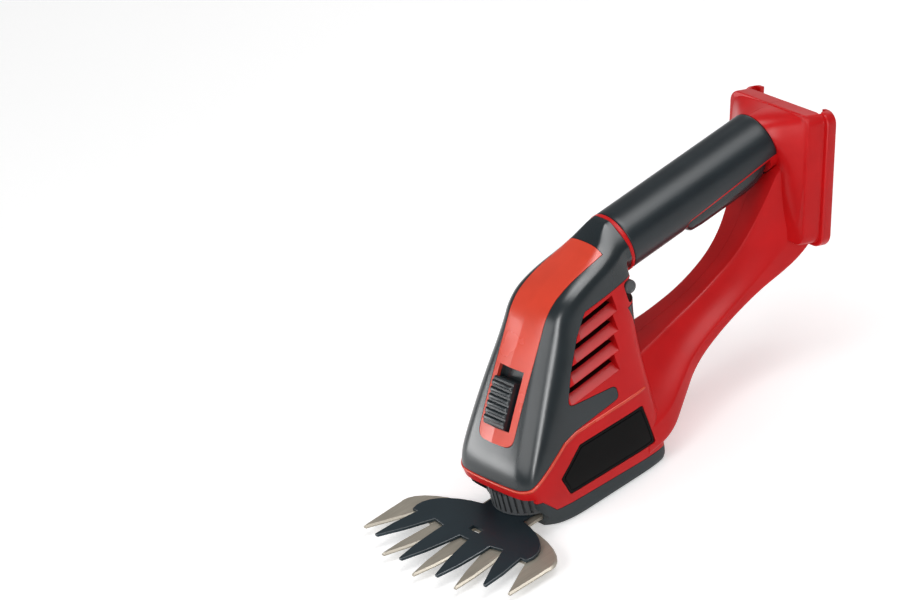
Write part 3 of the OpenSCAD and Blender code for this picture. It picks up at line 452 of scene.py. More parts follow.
zones = {
    "cover": [[-0.10, 0.237], [0.04, 0.265], [0.10, 0.296], [0.305, 0.405], [0.395, 0.425], [0.735, 0.450],
              [0.740, 0.510], [0.400, 0.545], [0.490, 0.680], [0.610, 0.820], [0.715, 0.905], [0.945, 0.912],
              [1.30, 0.925]],
    "coverRound": 3.0, "seam": 0.32,
    "label": [[0.225, 0.245], [0.265, 0.145], [0.890, 0.135], [0.865, 0.345], [0.400, 0.350]],
    "labelRound": 1.6, "labelGap": 0.35, "labelSunk": 0.1, "groove": (1.3, 1.8), "grooveDeep": 0.5,
    "sole": [[-0.30, 0.175], [0.085, 0.175], [0.165, 0.097], [1.30, 0.060]],
    "strip": 29.0, "stripLow": -20.0, "stripRear": 0.985, "stripRound": 7.0, "stripSteps": 9,
    "stripDepth": (-60.0, 100.0), "stripLean": 30.0, "stripCrease": 2.0, "creaseTop": (88.0, 108.0),
    "creaseFade": 0.15,
    "padHalf": 22.8, "padFront": 134.0, "padSpan": (0.44, 0.79), "padT": 1.6, "padRoom": 1.8,
}


def coverEdge(gap):
    line = onHead(zones["cover"])
    outline = np.vstack([line, [[far, far], [-far, far], [-far, line[0][1]]]])
    return grownOutline(roundedOutline(outline, zones["coverRound"]), gap)


def coverZone(gap):
    return prism("coverZone", coverEdge(gap), -far, far)


def soleZone(gap):
    line = onHead(zones["sole"]) - (0, gap)
    return prism("soleZone", np.vstack([line, [[far, -past], [-far, -past]]]), -far, far)


def labelZone(gap):
    outline = roundedOutline(grownOutline(onHead(zones["label"]), gap), zones["labelRound"])
    return prism("labelZone", outline, form["halfW"] / 2, far)


def padZone(gap):
    half = zones["padHalf"] + gap
    low, high = np.array(zones["padSpan"]) * form["headH"]
    return box("padZone", -half, half, zones["padFront"], far, low - gap, high + gap)


def headInFront(shift):  # the head moved forwards, so that a layer of its rear stays
    made = headForm()
    made.location.y = -shift * mm
    bpy.context.view_layer.update()
    return made


slider = {"at": 0.62, "w": 17.0, "len": 29.0, "proud": 4.5, "travel": 6.0, "lowCut": 3.0, "side": 1.6,
          "depth": 5.0, "hole": (1.1, 1.0), "tray": (0.95, 0.9), "plain": 1.6, "edge": 0.9, "round": 1.7,
          "ribs": 6, "ribRise": 1.4,
          "rib": ((-0.36, 0.0), (-0.29, 0.62), (-0.13, 1.0), (0.13, 1.0), (0.29, 0.62), (0.36, 0.0))}
slopeLow, slopeHigh = onHead([headNet[4][:2], headNet[5][:2]])
slope = slopeHigh - slopeLow
sliderAt = slopeLow * (1 - slider["at"]) + slopeHigh * slider["at"]
slopeFrame = Matrix.Translation((0, *sliderAt)) @ Matrix.Rotation(math.atan2(slope[1], slope[0]), 4, "X")


def sliderPocket(margin=0.0, floor=0.0):  # room for the slider and its travel, wider and deeper by these
    half = slider["w"] / 2 + slider["side"] + margin
    low = slider["len"] / 2 - slider["lowCut"] + form["move"] + margin
    high = slider["len"] / 2 + slider["travel"] + form["move"] + margin
    return box("pocket", -half, half, -low, high, -slider["depth"] - floor, far / 4, slopeFrame)


def stripZone(gap):  # the strip's plan, seen square on to the slope, up to its rear end
    rear = form["bladeReach"] + form["headLen"] * zones["stripRear"] + gap
    low, half = zones["stripLow"] - gap, zones["strip"] / 2 + gap
    corners = [(-half, low), (half, low), (half, far), (-half, far)]
    plan = roundedOutline(corners, zones["stripRound"], zones["stripSteps"])
    up = slopeFrame @ Matrix(((0, 1, 0, 0), (0, 0, 1, 0), (1, 0, 0, 0), (0, 0, 0, 1)))
    end = [[-far, -far], [rear - zones["stripLean"], -far], [rear, form["headH"]], [rear, far], [-far, far]]
    return carve(prism("stripPlan", plan, *zones["stripDepth"], up),
                 ("INTERSECT", prism("stripEnd", end, -far, far)))


# Trigger, sleeve and the tube inside them: distances along the handle, heights over its axis

trigger = {
    "front": 40.0, "len": 50.0, "splitFront": -7.0, "splitRear": -3.2, "w": 25.6, "round": 8.0,
    "roundShare": 0.7, "edge": 0.5, "endRun": 1.2, "endPinch": 0.7, "cornerSteps": 9,
    "tongue": 12.0, "tongueHalf": 5.0, "tongueLead": 5.0, "tail": 22.0, "slotDrop": 5.9,
    "pinInset": 4.5, "pinH": -11.5, "pinD": 4.0, "pinReach": 13.0, "room": 6.5, "drop": -22.0,
    "roomRear": 99.2, "roomRearH": -13.6, "roomTail": [(94.0, -18.4), (86.0, -20.4)],
    "stations": [40.0, 40.6, 41.6, 43.0, 45.0, 50.0, 58.0, 66.0, 74.0, 82.0, 87.0, 91.0, 94.0, 96.0],
    "endStations": [0.9, 0.3, 0.0],  # back from the rear end
    "under": np.array([(40.0, -14.6), (41.0, -16.4), (43.0, -18.0), (47.0, -18.8), (86.0, -18.6), (94.0, -16.2),
                       (97.0, -13.4), (98.2, -11.0)]),
}
triggerRear = trigger["front"] + trigger["len"]
pinS = triggerRear + trigger["tail"] - trigger["pinInset"]


def splitH(s):  # the line between the trigger and the sleeve
    t = (s - trigger["front"]) / trigger["len"]
    return trigger["splitFront"] * (1 - t) + trigger["splitRear"] * t


def triggerZone():  # room for the trigger and its travel
    front, rear = trigger["front"] - form["move"], trigger["roomRear"]
    outline = [(front, trigger["drop"] - 2 * form["move"]), (front, splitH(front) + trigger["room"]),
               (rear, splitH(rear) + trigger["room"]), (rear, trigger["roomRearH"]), *trigger["roomTail"]]
    return prism("triggerZone", outline, -far, far, handleFrame)


def triggerSlot():  # room for its tongue
    half, play, middle = trigger["tongue"] / 2 + form["move"], 2 * form["move"], trigger["pinH"]
    return box("triggerSlot", -half, half, triggerRear - past, triggerRear + trigger["tail"] + play,
               middle - trigger["slotDrop"], middle + trigger["room"] + play, handleFrame)


def pinHole():
    reach, diameter = trigger["pinReach"], trigger["pinD"] + 2 * form["run"]
    return crossRod("pinHole", diameter, -reach, reach, *handlePoint(pinS, trigger["pinH"]))


def handleRod(name, radius, s0, s1):
    return lathe(name, [(radius, s0), (radius, s1)], handleFrame)


# The sleeve's lower edge along the handle, and the red parts of the housing that show below it

hem = {
    "line": np.array([(0.0, -13.5), (35.5, -12.6), (37.0, -11.6), (39.0, -8.2), (40.5, -7.0), (95.0, -3.0),
                      (106.0, -2.6)]),
    "red": 16.6, "redFront": 2.0, "redLead": 1.0, "redPast": 0.6, "redTuck": 0.12, "rearSpan": (90.0, 106.0),
    "lip": 16.75, "lipTuck": 0.1, "drop": 1.2, "wall": 15.85, "wallTuck": 0.6, "inside": 13.3, "outside": 20.0,
    "front": 38.6, "rear": 100.0, "span": (30.0, 100.0), "low": -12.0, "high": 4.4, "under": -30.0,
    "sleeveIn": 16.0, "sleeveLead": 0.2, "sleeveRear": 110.0, "sleeveSpan": (-5.0, 120.0),
}


def belowSleeve(drop, s0, s1):  # all that lies under the edge line, lowered by the drop
    line = hem["line"]
    s = np.unique(np.concatenate([[s0, s1], line[(line[:, 0] > s0) & (line[:, 0] < s1), 0]]))
    outline = list(zip(s, np.interp(s, *line.T) - drop)) + [(s1, hem["under"]), (s0, hem["under"])]
    return prism("belowSleeve", outline, -far, far, handleFrame)


def redTrim():  # strips before and behind the trigger, then a wall and a lip on each side of it
    start, end, lead = hem["redFront"], trigger["front"] - 2 * form["move"], hem["redLead"]
    made = [
        carve(handleRod("underStrip", hem["red"], start, end),
              ("INTERSECT", belowSleeve(hem["redTuck"], start - lead, end + lead))),
        carve(handleRod("underRear", hem["red"], trigger["roomRear"], form["gripLen"] + hem["redPast"]),
              ("INTERSECT", belowSleeve(hem["redTuck"], *hem["rearSpan"])), ("DIFFERENCE", triggerSlot())),
    ]
    for side in (1, -1):
        x0, x1 = sorted((hem["inside"] * side, hem["outside"] * side))
        wallRoom, lipRoom = (box("lipRoom", x0, x1, hem["front"], hem["rear"], hem["low"], top, handleFrame)
                             for top in (hem["high"], 0))
        made.append(carve(handleRod("lipWall", hem["wall"], hem["front"], hem["rear"]), ("INTERSECT", wallRoom),
                          ("DIFFERENCE", belowSleeve(hem["wallTuck"], *hem["span"]))))
        made.append(carve(handleRod("lipHem", hem["lip"], hem["front"], hem["rear"]), ("INTERSECT", lipRoom),
                          ("INTERSECT", belowSleeve(hem["lipTuck"], *hem["span"])),
                          ("DIFFERENCE", belowSleeve(hem["drop"], *hem["span"]))))
    return made


# Lower bar: sections (half width, height) set along the way from the head to the battery plate

bar = {
    "rows": np.array([  # along, low, high and half width, as shares
        [-0.12, 0.070, 0.470, 1.00], [0.02, 0.090, 0.500, 0.98], [0.14, 0.205, 0.515, 0.86],
        [0.27, 0.305, 0.530, 0.68], [0.47, 0.380, 0.570, 0.58], [0.68, 0.440, 0.660, 0.57],
        [0.84, 0.460, 0.835, 0.60], [0.93, 0.495, 0.960, 0.66], [1.00, 0.560, 1.000, 0.74],
    ]),
    "section": np.array([[0.70, 0.00], [0.97, 0.04], [1.00, 0.10], [1.00, 0.30], [0.99, 0.345], [0.66, 0.66],
                         [0.52, 0.94], [0.44, 1.00]]),
    "open": np.array([0, 0, 0, 0, 0, 0.15, 0.5, 0.6, 0.6])[:, None],  # how far each section's top opens
    "openFrom": 0.5, "openTo": 0.92, "cuts": 2,
    "foot": [[1.38, 0.300], [1.56, 0.345], [1.56, 0.420], [1.38, 0.420]], "footW": 22.0, "footRound": 1.5,
}


def lowerBar():  # each row scales the section, and corner cutting smooths the net
    ring = mirrored(bar["section"])
    y, low, high, wide = (bar["rows"] * (plateY - headRear, form["headH"], form["headH"], form["halfW"])).T
    full = np.where(ring[:, 1] > bar["openFrom"], np.sign(ring[:, 0]) * bar["openTo"], ring[:, 0])
    across = ring[:, 0] * (1 - bar["open"]) + full * bar["open"]
    net = np.stack([
        wide[:, None] * across, np.repeat((y + headRear)[:, None], len(ring), axis=1),
        low[:, None] + np.outer(high - low, ring[:, 1]),
    ], axis=-1)
    made = skin("bar", cutAlong(cutAround(net, bar["cuts"]), form["cuts"]))
    half = bar["footW"] / 2
    foot = prism("foot", roundedOutline(onHead(bar["foot"]), bar["footRound"]), -half, half)
    return carve(made, ("UNION", foot))


# Battery plate: rounded rectangles stacked through its depth, with a groove in front of the rear rim

plate = {
    "corner": 7.0, "cornerShare": 0.4, "steps": 8, "topShare": 0.25,
    "stack": [(0.0, 0.9), (-0.35, 0.25), (-1.0, 0.0), (-5.9, 0.0), (-6.4, 0.5), (-6.5, 1.9), (-7.6, 1.9),
              (-7.7, 2.0), (-16.6, 2.1), (-17.6, 2.6), (-18.0, 3.6)],  # depth and inset
    "rim": 6.0, "socketD": 8.0, "railD": 2.6, "lip": 3.5, "floorH": 8.0,
}


def roundedRect(w, h, r, steps):  # a quarter circle at each corner in turn
    a = np.linspace(0, math.pi / 2, steps + 1)
    arc = np.column_stack([np.cos(a), np.sin(a)]) * r
    turn = np.array([[0, -1], [1, 0]])
    made = []
    for corner in [(w / 2 - r, h - r), (-w / 2 + r, h - r), (-w / 2 + r, r), (w / 2 - r, r)]:
        made.append(arc + corner)
        arc = arc @ turn.T
    return np.vstack(made)


def plateForm():
    rings = []
    for depth, inset in plate["stack"]:
        high = form["plateH"] - inset * (1 + plate["topShare"])
        corner = plate["corner"] - inset * plate["cornerShare"]
        flat = roundedRect(form["plateW"] - 2 * inset, high, corner, plate["steps"])
        rings.append(np.column_stack([flat[:, 0], np.full(len(flat), depth), flat[:, 1] + inset]))
    return skin("plate", placedBy(plateFrame, np.array(rings)))


def socketTools():  # the battery's slot, narrower between its rails
    half = form["plateW"] / 2 - plate["rim"]
    low, top, deep = plate["floorH"], form["plateH"] + past, -plate["socketD"]
    mouth = half - plate["lip"]
    return [box("socketWide", -half, half, deep, -plate["railD"], low, top, plateFrame),
            box("socketMouth", -mouth, mouth, deep, past, low, top, plateFrame)]


flare = {"steps": 18, "sides": 96, "blunt": 8, "low": 0.045, "high": 0.94, "wide": 0.461, "sunk": 1.0,
         "late": 0.4, "bend": 2.2}


def flareForm():  # the grip's circle swells into a rounded square on the plate's front
    a, power, count = fullTurn(flare["sides"]), flare["blunt"], flare["sides"]
    blunt = (np.abs(np.cos(a)) ** power + np.abs(np.sin(a)) ** power) ** (1 / power)
    z = form["plateH"] * (flare["low"] + flare["high"] * 0.5 * (1 + np.sin(a) / blunt))
    x = -form["plateW"] * flare["wide"] * np.cos(a) / blunt
    square = placedBy(plateFrame, np.column_stack([x, np.full(count, flare["sunk"] - form["plateD"]), z]))
    r, s = form["gripD"] / 2 - form["seat"], form["gripLen"] + form["seat"]
    circle = placedBy(handleFrame, np.column_stack([-r * np.cos(a), np.full(count, s), r * np.sin(a)]))
    t = np.linspace(0, 1, flare["steps"])[:, None, None]
    reach = square - circle
    along = np.array([0, math.cos(form["axisRise"]), math.sin(form["axisRise"])])
    sideways = reach - (reach @ along)[:, None] * along
    late = flare["late"] * (t ** flare["bend"] - t)  # the sides open later than the run, which makes the hollow
    return skin("flare", circle + t * reach + late * sideways)


# The head's own surface and its smooth normals, for pieces that are cut from it

def headSurface():  # each normal is square to the runs along and across the rings, and points outwards
    rings = headRings(0)
    points = rings.reshape(-1, 3)
    quads = ringQuads(*rings.shape[:2])[1]
    triangles = np.vstack([quads[:, [0, 1, 2]], quads[:, [0, 2, 3]]])
    along = np.gradient(rings, axis=0)
    across = np.roll(rings, -1, axis=1) - np.roll(rings, 1, axis=1)
    normal = np.cross(across, along).reshape(-1, 3)
    normal /= np.maximum(np.linalg.norm(normal, axis=1), 1e-9)[:, None]
    outward = (rings - rings.mean(axis=1, keepdims=True)).reshape(-1, 3)
    normal *= np.sign(np.sum(outward * normal))
    return BVHTree.FromPolygons(points.tolist(), triangles.tolist()), points, triangles, normal


headTree, headPoints, headTriangles, headNormals = headSurface()


def headNormal(spot):  # the smooth normal at the nearest place on the head, and the distance to it
    place, _, index, gap = headTree.find_nearest(spot)
    a, b, c = headTriangles[index]
    pa, pb, pc, p = headPoints[a], headPoints[b], headPoints[c], np.array(place)
    whole = np.cross(pb - pa, pc - pa)
    area = max(whole @ whole, 1e-12)
    wb = np.cross(p - pa, pc - pa) @ whole / area
    wc = np.cross(pb - pa, p - pa) @ whole / area
    normal = headNormals[a] * (1 - wb - wc) + headNormals[b] * wb + headNormals[c] * wc
    return normal / np.linalg.norm(normal), gap


def smoothOnHead(piece, reach=onSkin, tilt=None, sliver=3e-8, facing=0.93):  # faces on the head get its normals
    mesh = piece.data
    normals = [(0, 0, 0)] * len(mesh.loops)
    spots = {}
    for face in mesh.polygons:
        for loop in face.loop_indices:
            vertex = mesh.loops[loop].vertex_index
            if vertex not in spots:
                spot = inMm(mesh.vertices[vertex].co)
                spots[vertex] = (*headNormal(spot), spot)
            normal, gap, spot = spots[vertex]
            if gap < reach and (face.area < sliver or normal @ np.array(face.normal) > facing):
                normals[loop] = tuple(tilt(normal, spot, face.center.x) if tilt else normal)
    mesh.normals_split_custom_set(normals)


# Housing: the head, bar, tube, flare and plate joined, then cut for what sits in them

louvre = {
    "low": 0.545, "pitch": 9.6, "rise": 0.07, "depth": 3.6, "step": 2.2, "slot": 5.4, "lip": 0.5,
    "through": 16.0, "front": [0.43, 0.49, 0.555, 0.63], "rear": [0.80, 0.845, 0.885, 0.925],
    "stations": 6, "clear": 12.0, "bite": 0.25, "shade": 2.6, "shadeSpan": (0.43, 0.955),
    "margin": (-1.0, 1.0), "shadeRows": 4.6, "core": 6.0, "flank": 0.97,
}


def headSide(side, y, z):  # how far the head reaches sideways there
    return abs(headTree.ray_cast(Vector((beside * side, y, z)), Vector((-side, 0, 0)))[0].x)


def louvreTools():  # wedges that lean every fin inwards towards its top, and the slots above them
    made = []
    for i, (front, rear) in enumerate(zip(louvre["front"], louvre["rear"])):
        z = louvre["low"] * form["headH"] + i * louvre["pitch"]
        y0, y1 = (form["bladeReach"] + share * form["headLen"] for share in (front, rear))
        for side in (1, -1):
            rings = []
            for y in np.linspace(y0, y1, louvre["stations"]):
                low = z + (y - y0) * louvre["rise"]
                out, top = headSide(side, y, low), headSide(side, y, low + louvre["pitch"])
                slotHigh = low + louvre["pitch"] - louvre["lip"]
                slotLow = slotHigh - louvre["slot"]
                flat = np.array([
                    (out + louvre["clear"], low), (out - louvre["bite"], low), (top - louvre["depth"], slotLow),
                    (top - louvre["through"], slotLow), (top - louvre["through"], slotHigh),
                    (top - louvre["step"], slotHigh), (top + louvre["clear"], slotHigh),
                ])
                rings.append(np.column_stack([flat[:, 0] * side, np.full(len(flat), y), flat[:, 1]]))
            made.append(skin("louvre", np.array(rings)))
    return made


# fine, margin, near and proud pick the bead faces that carry the painted highlight
bead = {"half": 0.85, "high": 0.55, "turn": 150.0, "count": 260, "corners": 25, "fine": 8, "middle": 0.36,
        "tries": 8, "sides": 14, "margin": 1.0, "near": 0.1, "proud": 0.06}


def beadPath():  # where rays from inside the head meet the cover's lower edge, and the normals there
    line = coverEdge(zones["seam"] + bead["half"])[1:bead["corners"]]
    line = line[np.argsort(line[:, 0])]
    middle = form["bladeReach"] + bead["middle"] * form["headLen"]
    spots = []
    for angle in np.radians(np.linspace(-bead["turn"], bead["turn"], bead["count"])):
        z = line[0, 1]
        for _ in range(bead["tries"]):
            hit = headTree.ray_cast(Vector((0, middle, z)), Vector((math.sin(angle), -math.cos(angle), 0)))[0]
            z = float(np.interp(hit.y, *line.T))
        spots.append(hit)
    return np.array(spots), np.array([headNormal(spot)[0] for spot in spots])


beadSpots, beadNormals = beadPath()


def seamBead():  # an ellipse carried along the path, half of it inside the head
    run = np.gradient(beadSpots, axis=0)
    across = np.cross(run / np.linalg.norm(run, axis=1)[:, None], beadNormals)
    a = fullTurn(bead["sides"])[None, :, None]
    return skin("seamBead", beadSpots[:, None] + bead["high"] * np.cos(a) * beadNormals[:, None]
                + bead["half"] * np.sin(a) * across[:, None])


lock = {"share": [1.075, 0.865], "r": 3.8, "inner": -13.6, "outer": 20.4,
        "nose": [(0.0, 0.9), (0.25, 0.3), (0.8, 0.0), (1.2, 0.0), (1.5, 0.35)],  # inset and depth
        "well": np.array([(-4.8, -7.4), (5.0, -7.4), (5.0, 4.8), (-4.8, 4.8)]), "wellRound": 3.0, "wellIn": 9.0,
        "wellDeep": 1.6, "wellShade": 0.3}
lockAt = onHead(lock["share"])


def lockWell():  # a shallow recess round the lock button, at the neck's rear corner
    outline = roundedOutline(lock["well"] + lockAt, lock["wellRound"])
    return carve(prism("lockWell", outline, lock["wellIn"], far), ("DIFFERENCE", headForm(-lock["wellDeep"])))


screws = {"shares": [[0.205, 0.270], [1.060, 0.300], [1.010, 0.730], [1.680, 0.480], [2.200, 0.640]],
          "d": 3.4, "headD": 6.4, "headH": 2.4, "seat": 9.0, "grip": 9.0,
          "crown": [(0.0, 0.7), (0.5, 0.15), (1.2, 0.0)], "cross": (1.9, 0.42), "crossDeep": 0.6,
          "crossLead": 1.0, "soleShares": ((0.55, 0.76), (0.885, 0.55)), "soleHead": 1.2,
          "soleSeat": 3.6, "soleTop": 14.0, "soleHole": 15.2}
soleScrews = [(side * wide * form["halfW"], form["bladeReach"] + along * form["headLen"])
              for along, wide in screws["soleShares"] for side in (-1, 1)]
screwHole, screwWell = screws["d"] + loose, screws["headD"] + loose


def soleRods(name, diameter, top):
    return [postRod(name, diameter, -past, top, x, y) for x, y in soleScrews]


drive = {"pivotY": 88.0, "holderR": 25.0, "caseZ": 20.4, "bladeZ": 4.0, "bayTop": 0.205, "lipRun": 5.0,
         "noseRun": 12.0, "noseHalf": 27.0, "midHalf": 20.4, "tailLen": 36.0, "tailHalf": 18.0, "tailRoom": 4.0,
         "motorY": 134.0, "motorZ": 33.9, "motorTop": 90.9, "motorD": 35.0, "motorRoom": 4.0,
         "bayFront": 91.75, "bayHalf": 23.0}


def bladeBay():  # room for the blades, their holder and the moving blade's tail
    low, high, y = drive["bladeZ"] - form["seat"], drive["caseZ"], drive["pivotY"]
    front, top = form["bladeReach"], drive["bayTop"] * form["headH"]
    nose, mid, tail = drive["noseHalf"], drive["midHalf"], drive["tailHalf"]
    return [
        box("bayFront", -far, far, -far, front + drive["lipRun"], -past, top),
        box("bayNose", -nose, nose, -far, front + drive["noseRun"], -past, top),
        box("bayMid", -mid, mid, front, y + drive["holderR"], low, high),
        box("bayTail", -tail, tail, y, y + drive["tailLen"] + drive["tailRoom"], low, high),
        postRod("bayRound", 2 * (drive["holderR"] + form["seat"]), low, high, 0, y),
    ]


def driveRooms():  # rooms for the gears and the motor
    half, y = drive["bayHalf"], drive["motorY"]
    rear = y + drive["motorD"] / 2 + past
    return [box("driveBay", -half, half, drive["bayFront"], rear, drive["caseZ"], drive["motorZ"]),
            postRod("motorRoom", drive["motorD"] + loose, drive["motorZ"] - past,
                    drive["motorTop"] + drive["motorRoom"], 0, y)]


def paintShadeAndHighlight(half):  # painted shade: near-black faces deep between the fins and in the lock's well; painted highlight: the strip's lighter orange red on the bead
    half.data.materials.append(finish["paintedShade"])
    # the strip's orange red, used here as a painted highlight on the bead
    half.data.materials.append(finish["stripPlastic"])
    low = louvre["low"] * form["headH"]
    high = low + louvre["shadeRows"] * louvre["pitch"]
    front, rear = onHead([(share, 0) for share in louvre["shadeSpan"]])[:, 0] + louvre["margin"]
    wellLow, wellHigh = lock["well"].min(0) + lockAt, lock["well"].max(0) + lockAt
    order = np.arange(bead["count"])
    finer = np.linspace(0, order[-1], bead["count"] * bead["fine"])
    line = np.column_stack([np.interp(finer, order, way) for way in beadSpots.T])
    beadLow, beadHigh = line[:, 2].min() - bead["margin"], line[:, 2].max() + bead["margin"]
    for face in half.data.polygons:
        spot = inMm(face.center)
        flat = np.array((spot.y, spot.z))
        gap = headTree.find_nearest(spot)[3]
        # painted shade on the faces that lie deeper than louvre shade between the fins
        if low < spot.z < high and front < spot.y < rear and abs(spot.x) > louvre["core"]:
            if gap > louvre["shade"] and abs(face.normal.x) < louvre["flank"]:
                face.material_index = 1
        # painted shade on the floor and walls of the lock's well
        elif spot.x > lock["wellIn"] and (wellLow < flat).all() and (flat < wellHigh).all():
            if gap > lock["wellShade"]:
                face.material_index = 1
        # painted highlight: bead faces take the strip's lighter orange red, as a highlight line along the
        # cover's seam
        elif beadLow < spot.z < beadHigh and gap > bead["proud"]:
            if np.linalg.norm(line - spot, axis=1).min() < bead["half"] + bead["near"]:
                face.material_index = 2


def housingCuts():  # rooms and holes for all that the housing holds
    label = carve(labelZone(zones["labelGap"]), ("DIFFERENCE", headForm(-form["labelT"] - loose)))
    made = bladeBay() + louvreTools() + socketTools() + [
        label, sliderPocket(*slider["hole"]),
        handleRod("cavity", cavityR, form["cavityFront"], form["gripLen"] - form["cavityStop"]), *driveRooms(),
        triggerZone(), triggerSlot(), crossRod("lockHole", 2 * (lock["r"] + form["run"]), -far, far, *lockAt),
        lockWell(), pinHole(),
    ]
    seat = -screws["seat"]
    for spot in onHead(screws["shares"]):
        made.append(crossRod("screwHole", screwHole, seat - past, screws["grip"] + form["seat"], *spot))
        made.append(crossRod("screwWell", screwWell, -far, seat, *spot))
    return made + soleRods("soleHole", screwHole, screws["soleHole"])


def makeHousing():  # one whole form, parted along its middle into two halves
    seam, length = zones["seam"], form["gripLen"]
    shell = carve(coverZone(seam), ("DIFFERENCE", headForm(-form["coverT"] - form["seat"])))
    pad = carve(padZone(loose), ("DIFFERENCE", headInFront(zones["padRoom"])))
    head = carve(headForm(), ("DIFFERENCE", shell, soleZone(-seam), pad))
    gripRoom = handleRod("gripRoom", form["gripD"] / 2 + form["seat"], 0, length + form["seat"])
    lower = carve(lowerBar(), ("DIFFERENCE", soleZone(-seam), gripRoom))
    core = handleRod("core", coreR, -form["ringT"] - form["tubeLead"], length + form["neckLen"])
    whole = carve(head, ("UNION", lower, core, flareForm(), plateForm()), ("DIFFERENCE", *housingCuts()),
                  ("UNION", *redTrim(), seamBead()))
    for side, name in ((1, "housing_left"), (-1, "housing_right")):
        half = linked(name + "_shell", whole.data.copy())
        edge = sorted((side * form["seat"] / 2, side * far))
        carve(half, ("INTERSECT", box("side", *edge, -far, far, -far, far)))
        dress(half, name + "_shell", "body", "redPlastic", name)
        paintShadeAndHighlight(half)
        smoothOnHead(half)


makeHousing()
print("stage: housing")


# Cover, strip, label, pad and sole: layers of the same head

def creaseRise(z):  # the crease's height, which fades towards the top
    return zones["stripCrease"] * float(np.interp(z, zones["creaseTop"], (1, zones["creaseFade"])))


def creaseStrip(strip):  # the outer face rises towards a line along its middle
    work = bmesh.new()
    work.from_mesh(strip.data)
    parts = list(work.verts) + list(work.edges) + list(work.faces)
    bmesh.ops.bisect_plane(work, geom=parts, dist=1e-7, plane_co=(0, 0, 0), plane_no=(1, 0, 0))
    for vert in work.verts:
        spot = inMm(vert.co)
        normal, gap = headNormal(spot)
        if gap < onSkin:
            share = max(0, 1 - abs(spot.x) / (zones["strip"] / 2))
            vert.co += Vector(normal) * (creaseRise(spot.z) * share * mm)
    work.to_mesh(strip.data)
    work.free()


def creaseTilt(normal, spot, side):  # each half of the strip leans away from the crease
    leaning = normal + np.array([math.copysign(creaseRise(spot.z) / (zones["strip"] / 2), side), 0, 0])
    return leaning / np.linalg.norm(leaning)


def makeCover():  # a shell of the head with a tray under the slider
    seat, underStrip = form["seat"], headForm(-form["stripT"])
    stripRoom = carve(stripZone(loose), ("DIFFERENCE", underStrip))
    coreRoom = handleRod("coreRoom", coreR + seat, -form["ringT"] - form["tubeLead"] - seat, form["gripLen"])
    cover = carve(coverZone(0), ("INTERSECT", headForm()),
                  ("DIFFERENCE", headForm(-form["coverT"]), stripRoom, sliderPocket(), coreRoom))
    tray = carve(sliderPocket(*slider["tray"]), ("INTERSECT", underStrip), ("DIFFERENCE", sliderPocket()))
    carve(cover, ("UNION", tray))
    dress(cover, "front_cover_shell", "body", "darkPlastic", "front_cover")
    smoothOnHead(cover)


def makeStrip():
    strip = carve(stripZone(0), ("INTERSECT", headForm()),
                  ("DIFFERENCE", headForm(form["seat"] - form["stripT"]), sliderPocket()))
    creaseStrip(strip)
    dress(strip, "cover_strip_inlay", "body", "stripPlastic", "cover_strip")
    smoothOnHead(strip, zones["stripCrease"] + 2 * onSkin, creaseTilt)


def makeLabel():  # a bare plate with a fine line inside its edge
    label = carve(labelZone(0), ("INTERSECT", headForm(-zones["labelSunk"])),
                  ("DIFFERENCE", headForm(-form["labelT"])))
    outer, inner = (labelZone(-inset) for inset in zones["groove"])
    carve(label, ("DIFFERENCE", carve(outer, ("DIFFERENCE", inner, headForm(-zones["grooveDeep"])))))
    dress(label, "label_plate_blank", "body", "blackPlate", "label_plate")


def makePad():
    pad = carve(padZone(0), ("INTERSECT", headForm()), ("DIFFERENCE", headInFront(zones["padT"]), lowerBar()))
    dress(pad, "rear_pad_strip", "body", "darkPlastic", "rear_pad")


def makeSole():
    sole = carve(headForm(), ("INTERSECT", soleZone(0)), ("DIFFERENCE", *bladeBay()))
    carve(sole, ("DIFFERENCE", *soleRods("soleHole", screwHole, screws["soleHole"]),
                 *soleRods("soleWell", screwWell, screws["soleSeat"])))
    dress(sole, "sole_plate_shell", "body", "solePlastic", "sole_plate")
    smoothOnHead(sole)


makeCover()
makeStrip()
makeLabel()
makePad()
makeSole()
print("stage: layers of the head")


# Grip, ring and trigger

grip = {"round": 0.9, "steps": 5, "runSteps": 40, "sides": 128, "ringEdge": 0.4}
gripR, boreR = form["gripD"] / 2, coreR + form["seat"]


def makeSleeve():  # a tube with rounded ends, open below along the trigger
    outer, inner, length, r, seat = gripR, boreR, form["gripLen"], grip["round"], form["seat"]
    a =np.linspace(0, math.pi / 2, grip["steps"])
    run = np.linspace(r + seat, length - r, grip["runSteps"])[1:-1]
    profile = np.vstack([
        [(inner, seat)],
        np.column_stack([outer - r + r * np.sin(a), seat + r - r * np.cos(a)]),
        np.column_stack([np.full(len(run), outer), run]),
        np.column_stack([outer - r + r * np.cos(a), length - r + r * np.sin(a)]),
        [(inner, length)],
    ])
    sleeve = tube("grip_sleeve_soft", profile, handleFrame, grip["sides"])
    lowHalf = box("lowHalf", -far, far, 0, hem["sleeveSpan"][1], hem["under"], hem["high"] + seat, handleFrame)
    room = carve(handleRod("hemRoom", hem["sleeveIn"], hem["front"] - hem["sleeveLead"], hem["sleeveRear"]),
                 ("INTERSECT", lowHalf))
    carve(sleeve, ("DIFFERENCE", belowSleeve(0, *hem["sleeveSpan"]), triggerSlot(), room))
    dress(sleeve, "grip_sleeve_soft", "body", "softGrip", "grip_sleeve")


def makeRing():
    outer, front, edge = gripR + form["seat"], -form["ringT"], grip["ringEdge"]
    profile = [(boreR, front), (outer - edge, front), (outer, front + edge), (outer, -edge), (outer - edge, 0),
               (boreR, 0)]
    ring = tube("grip_ring_red", profile, handleFrame, grip["sides"])
    dress(ring, "grip_ring_red", "body", "redPlastic", "grip_ring")


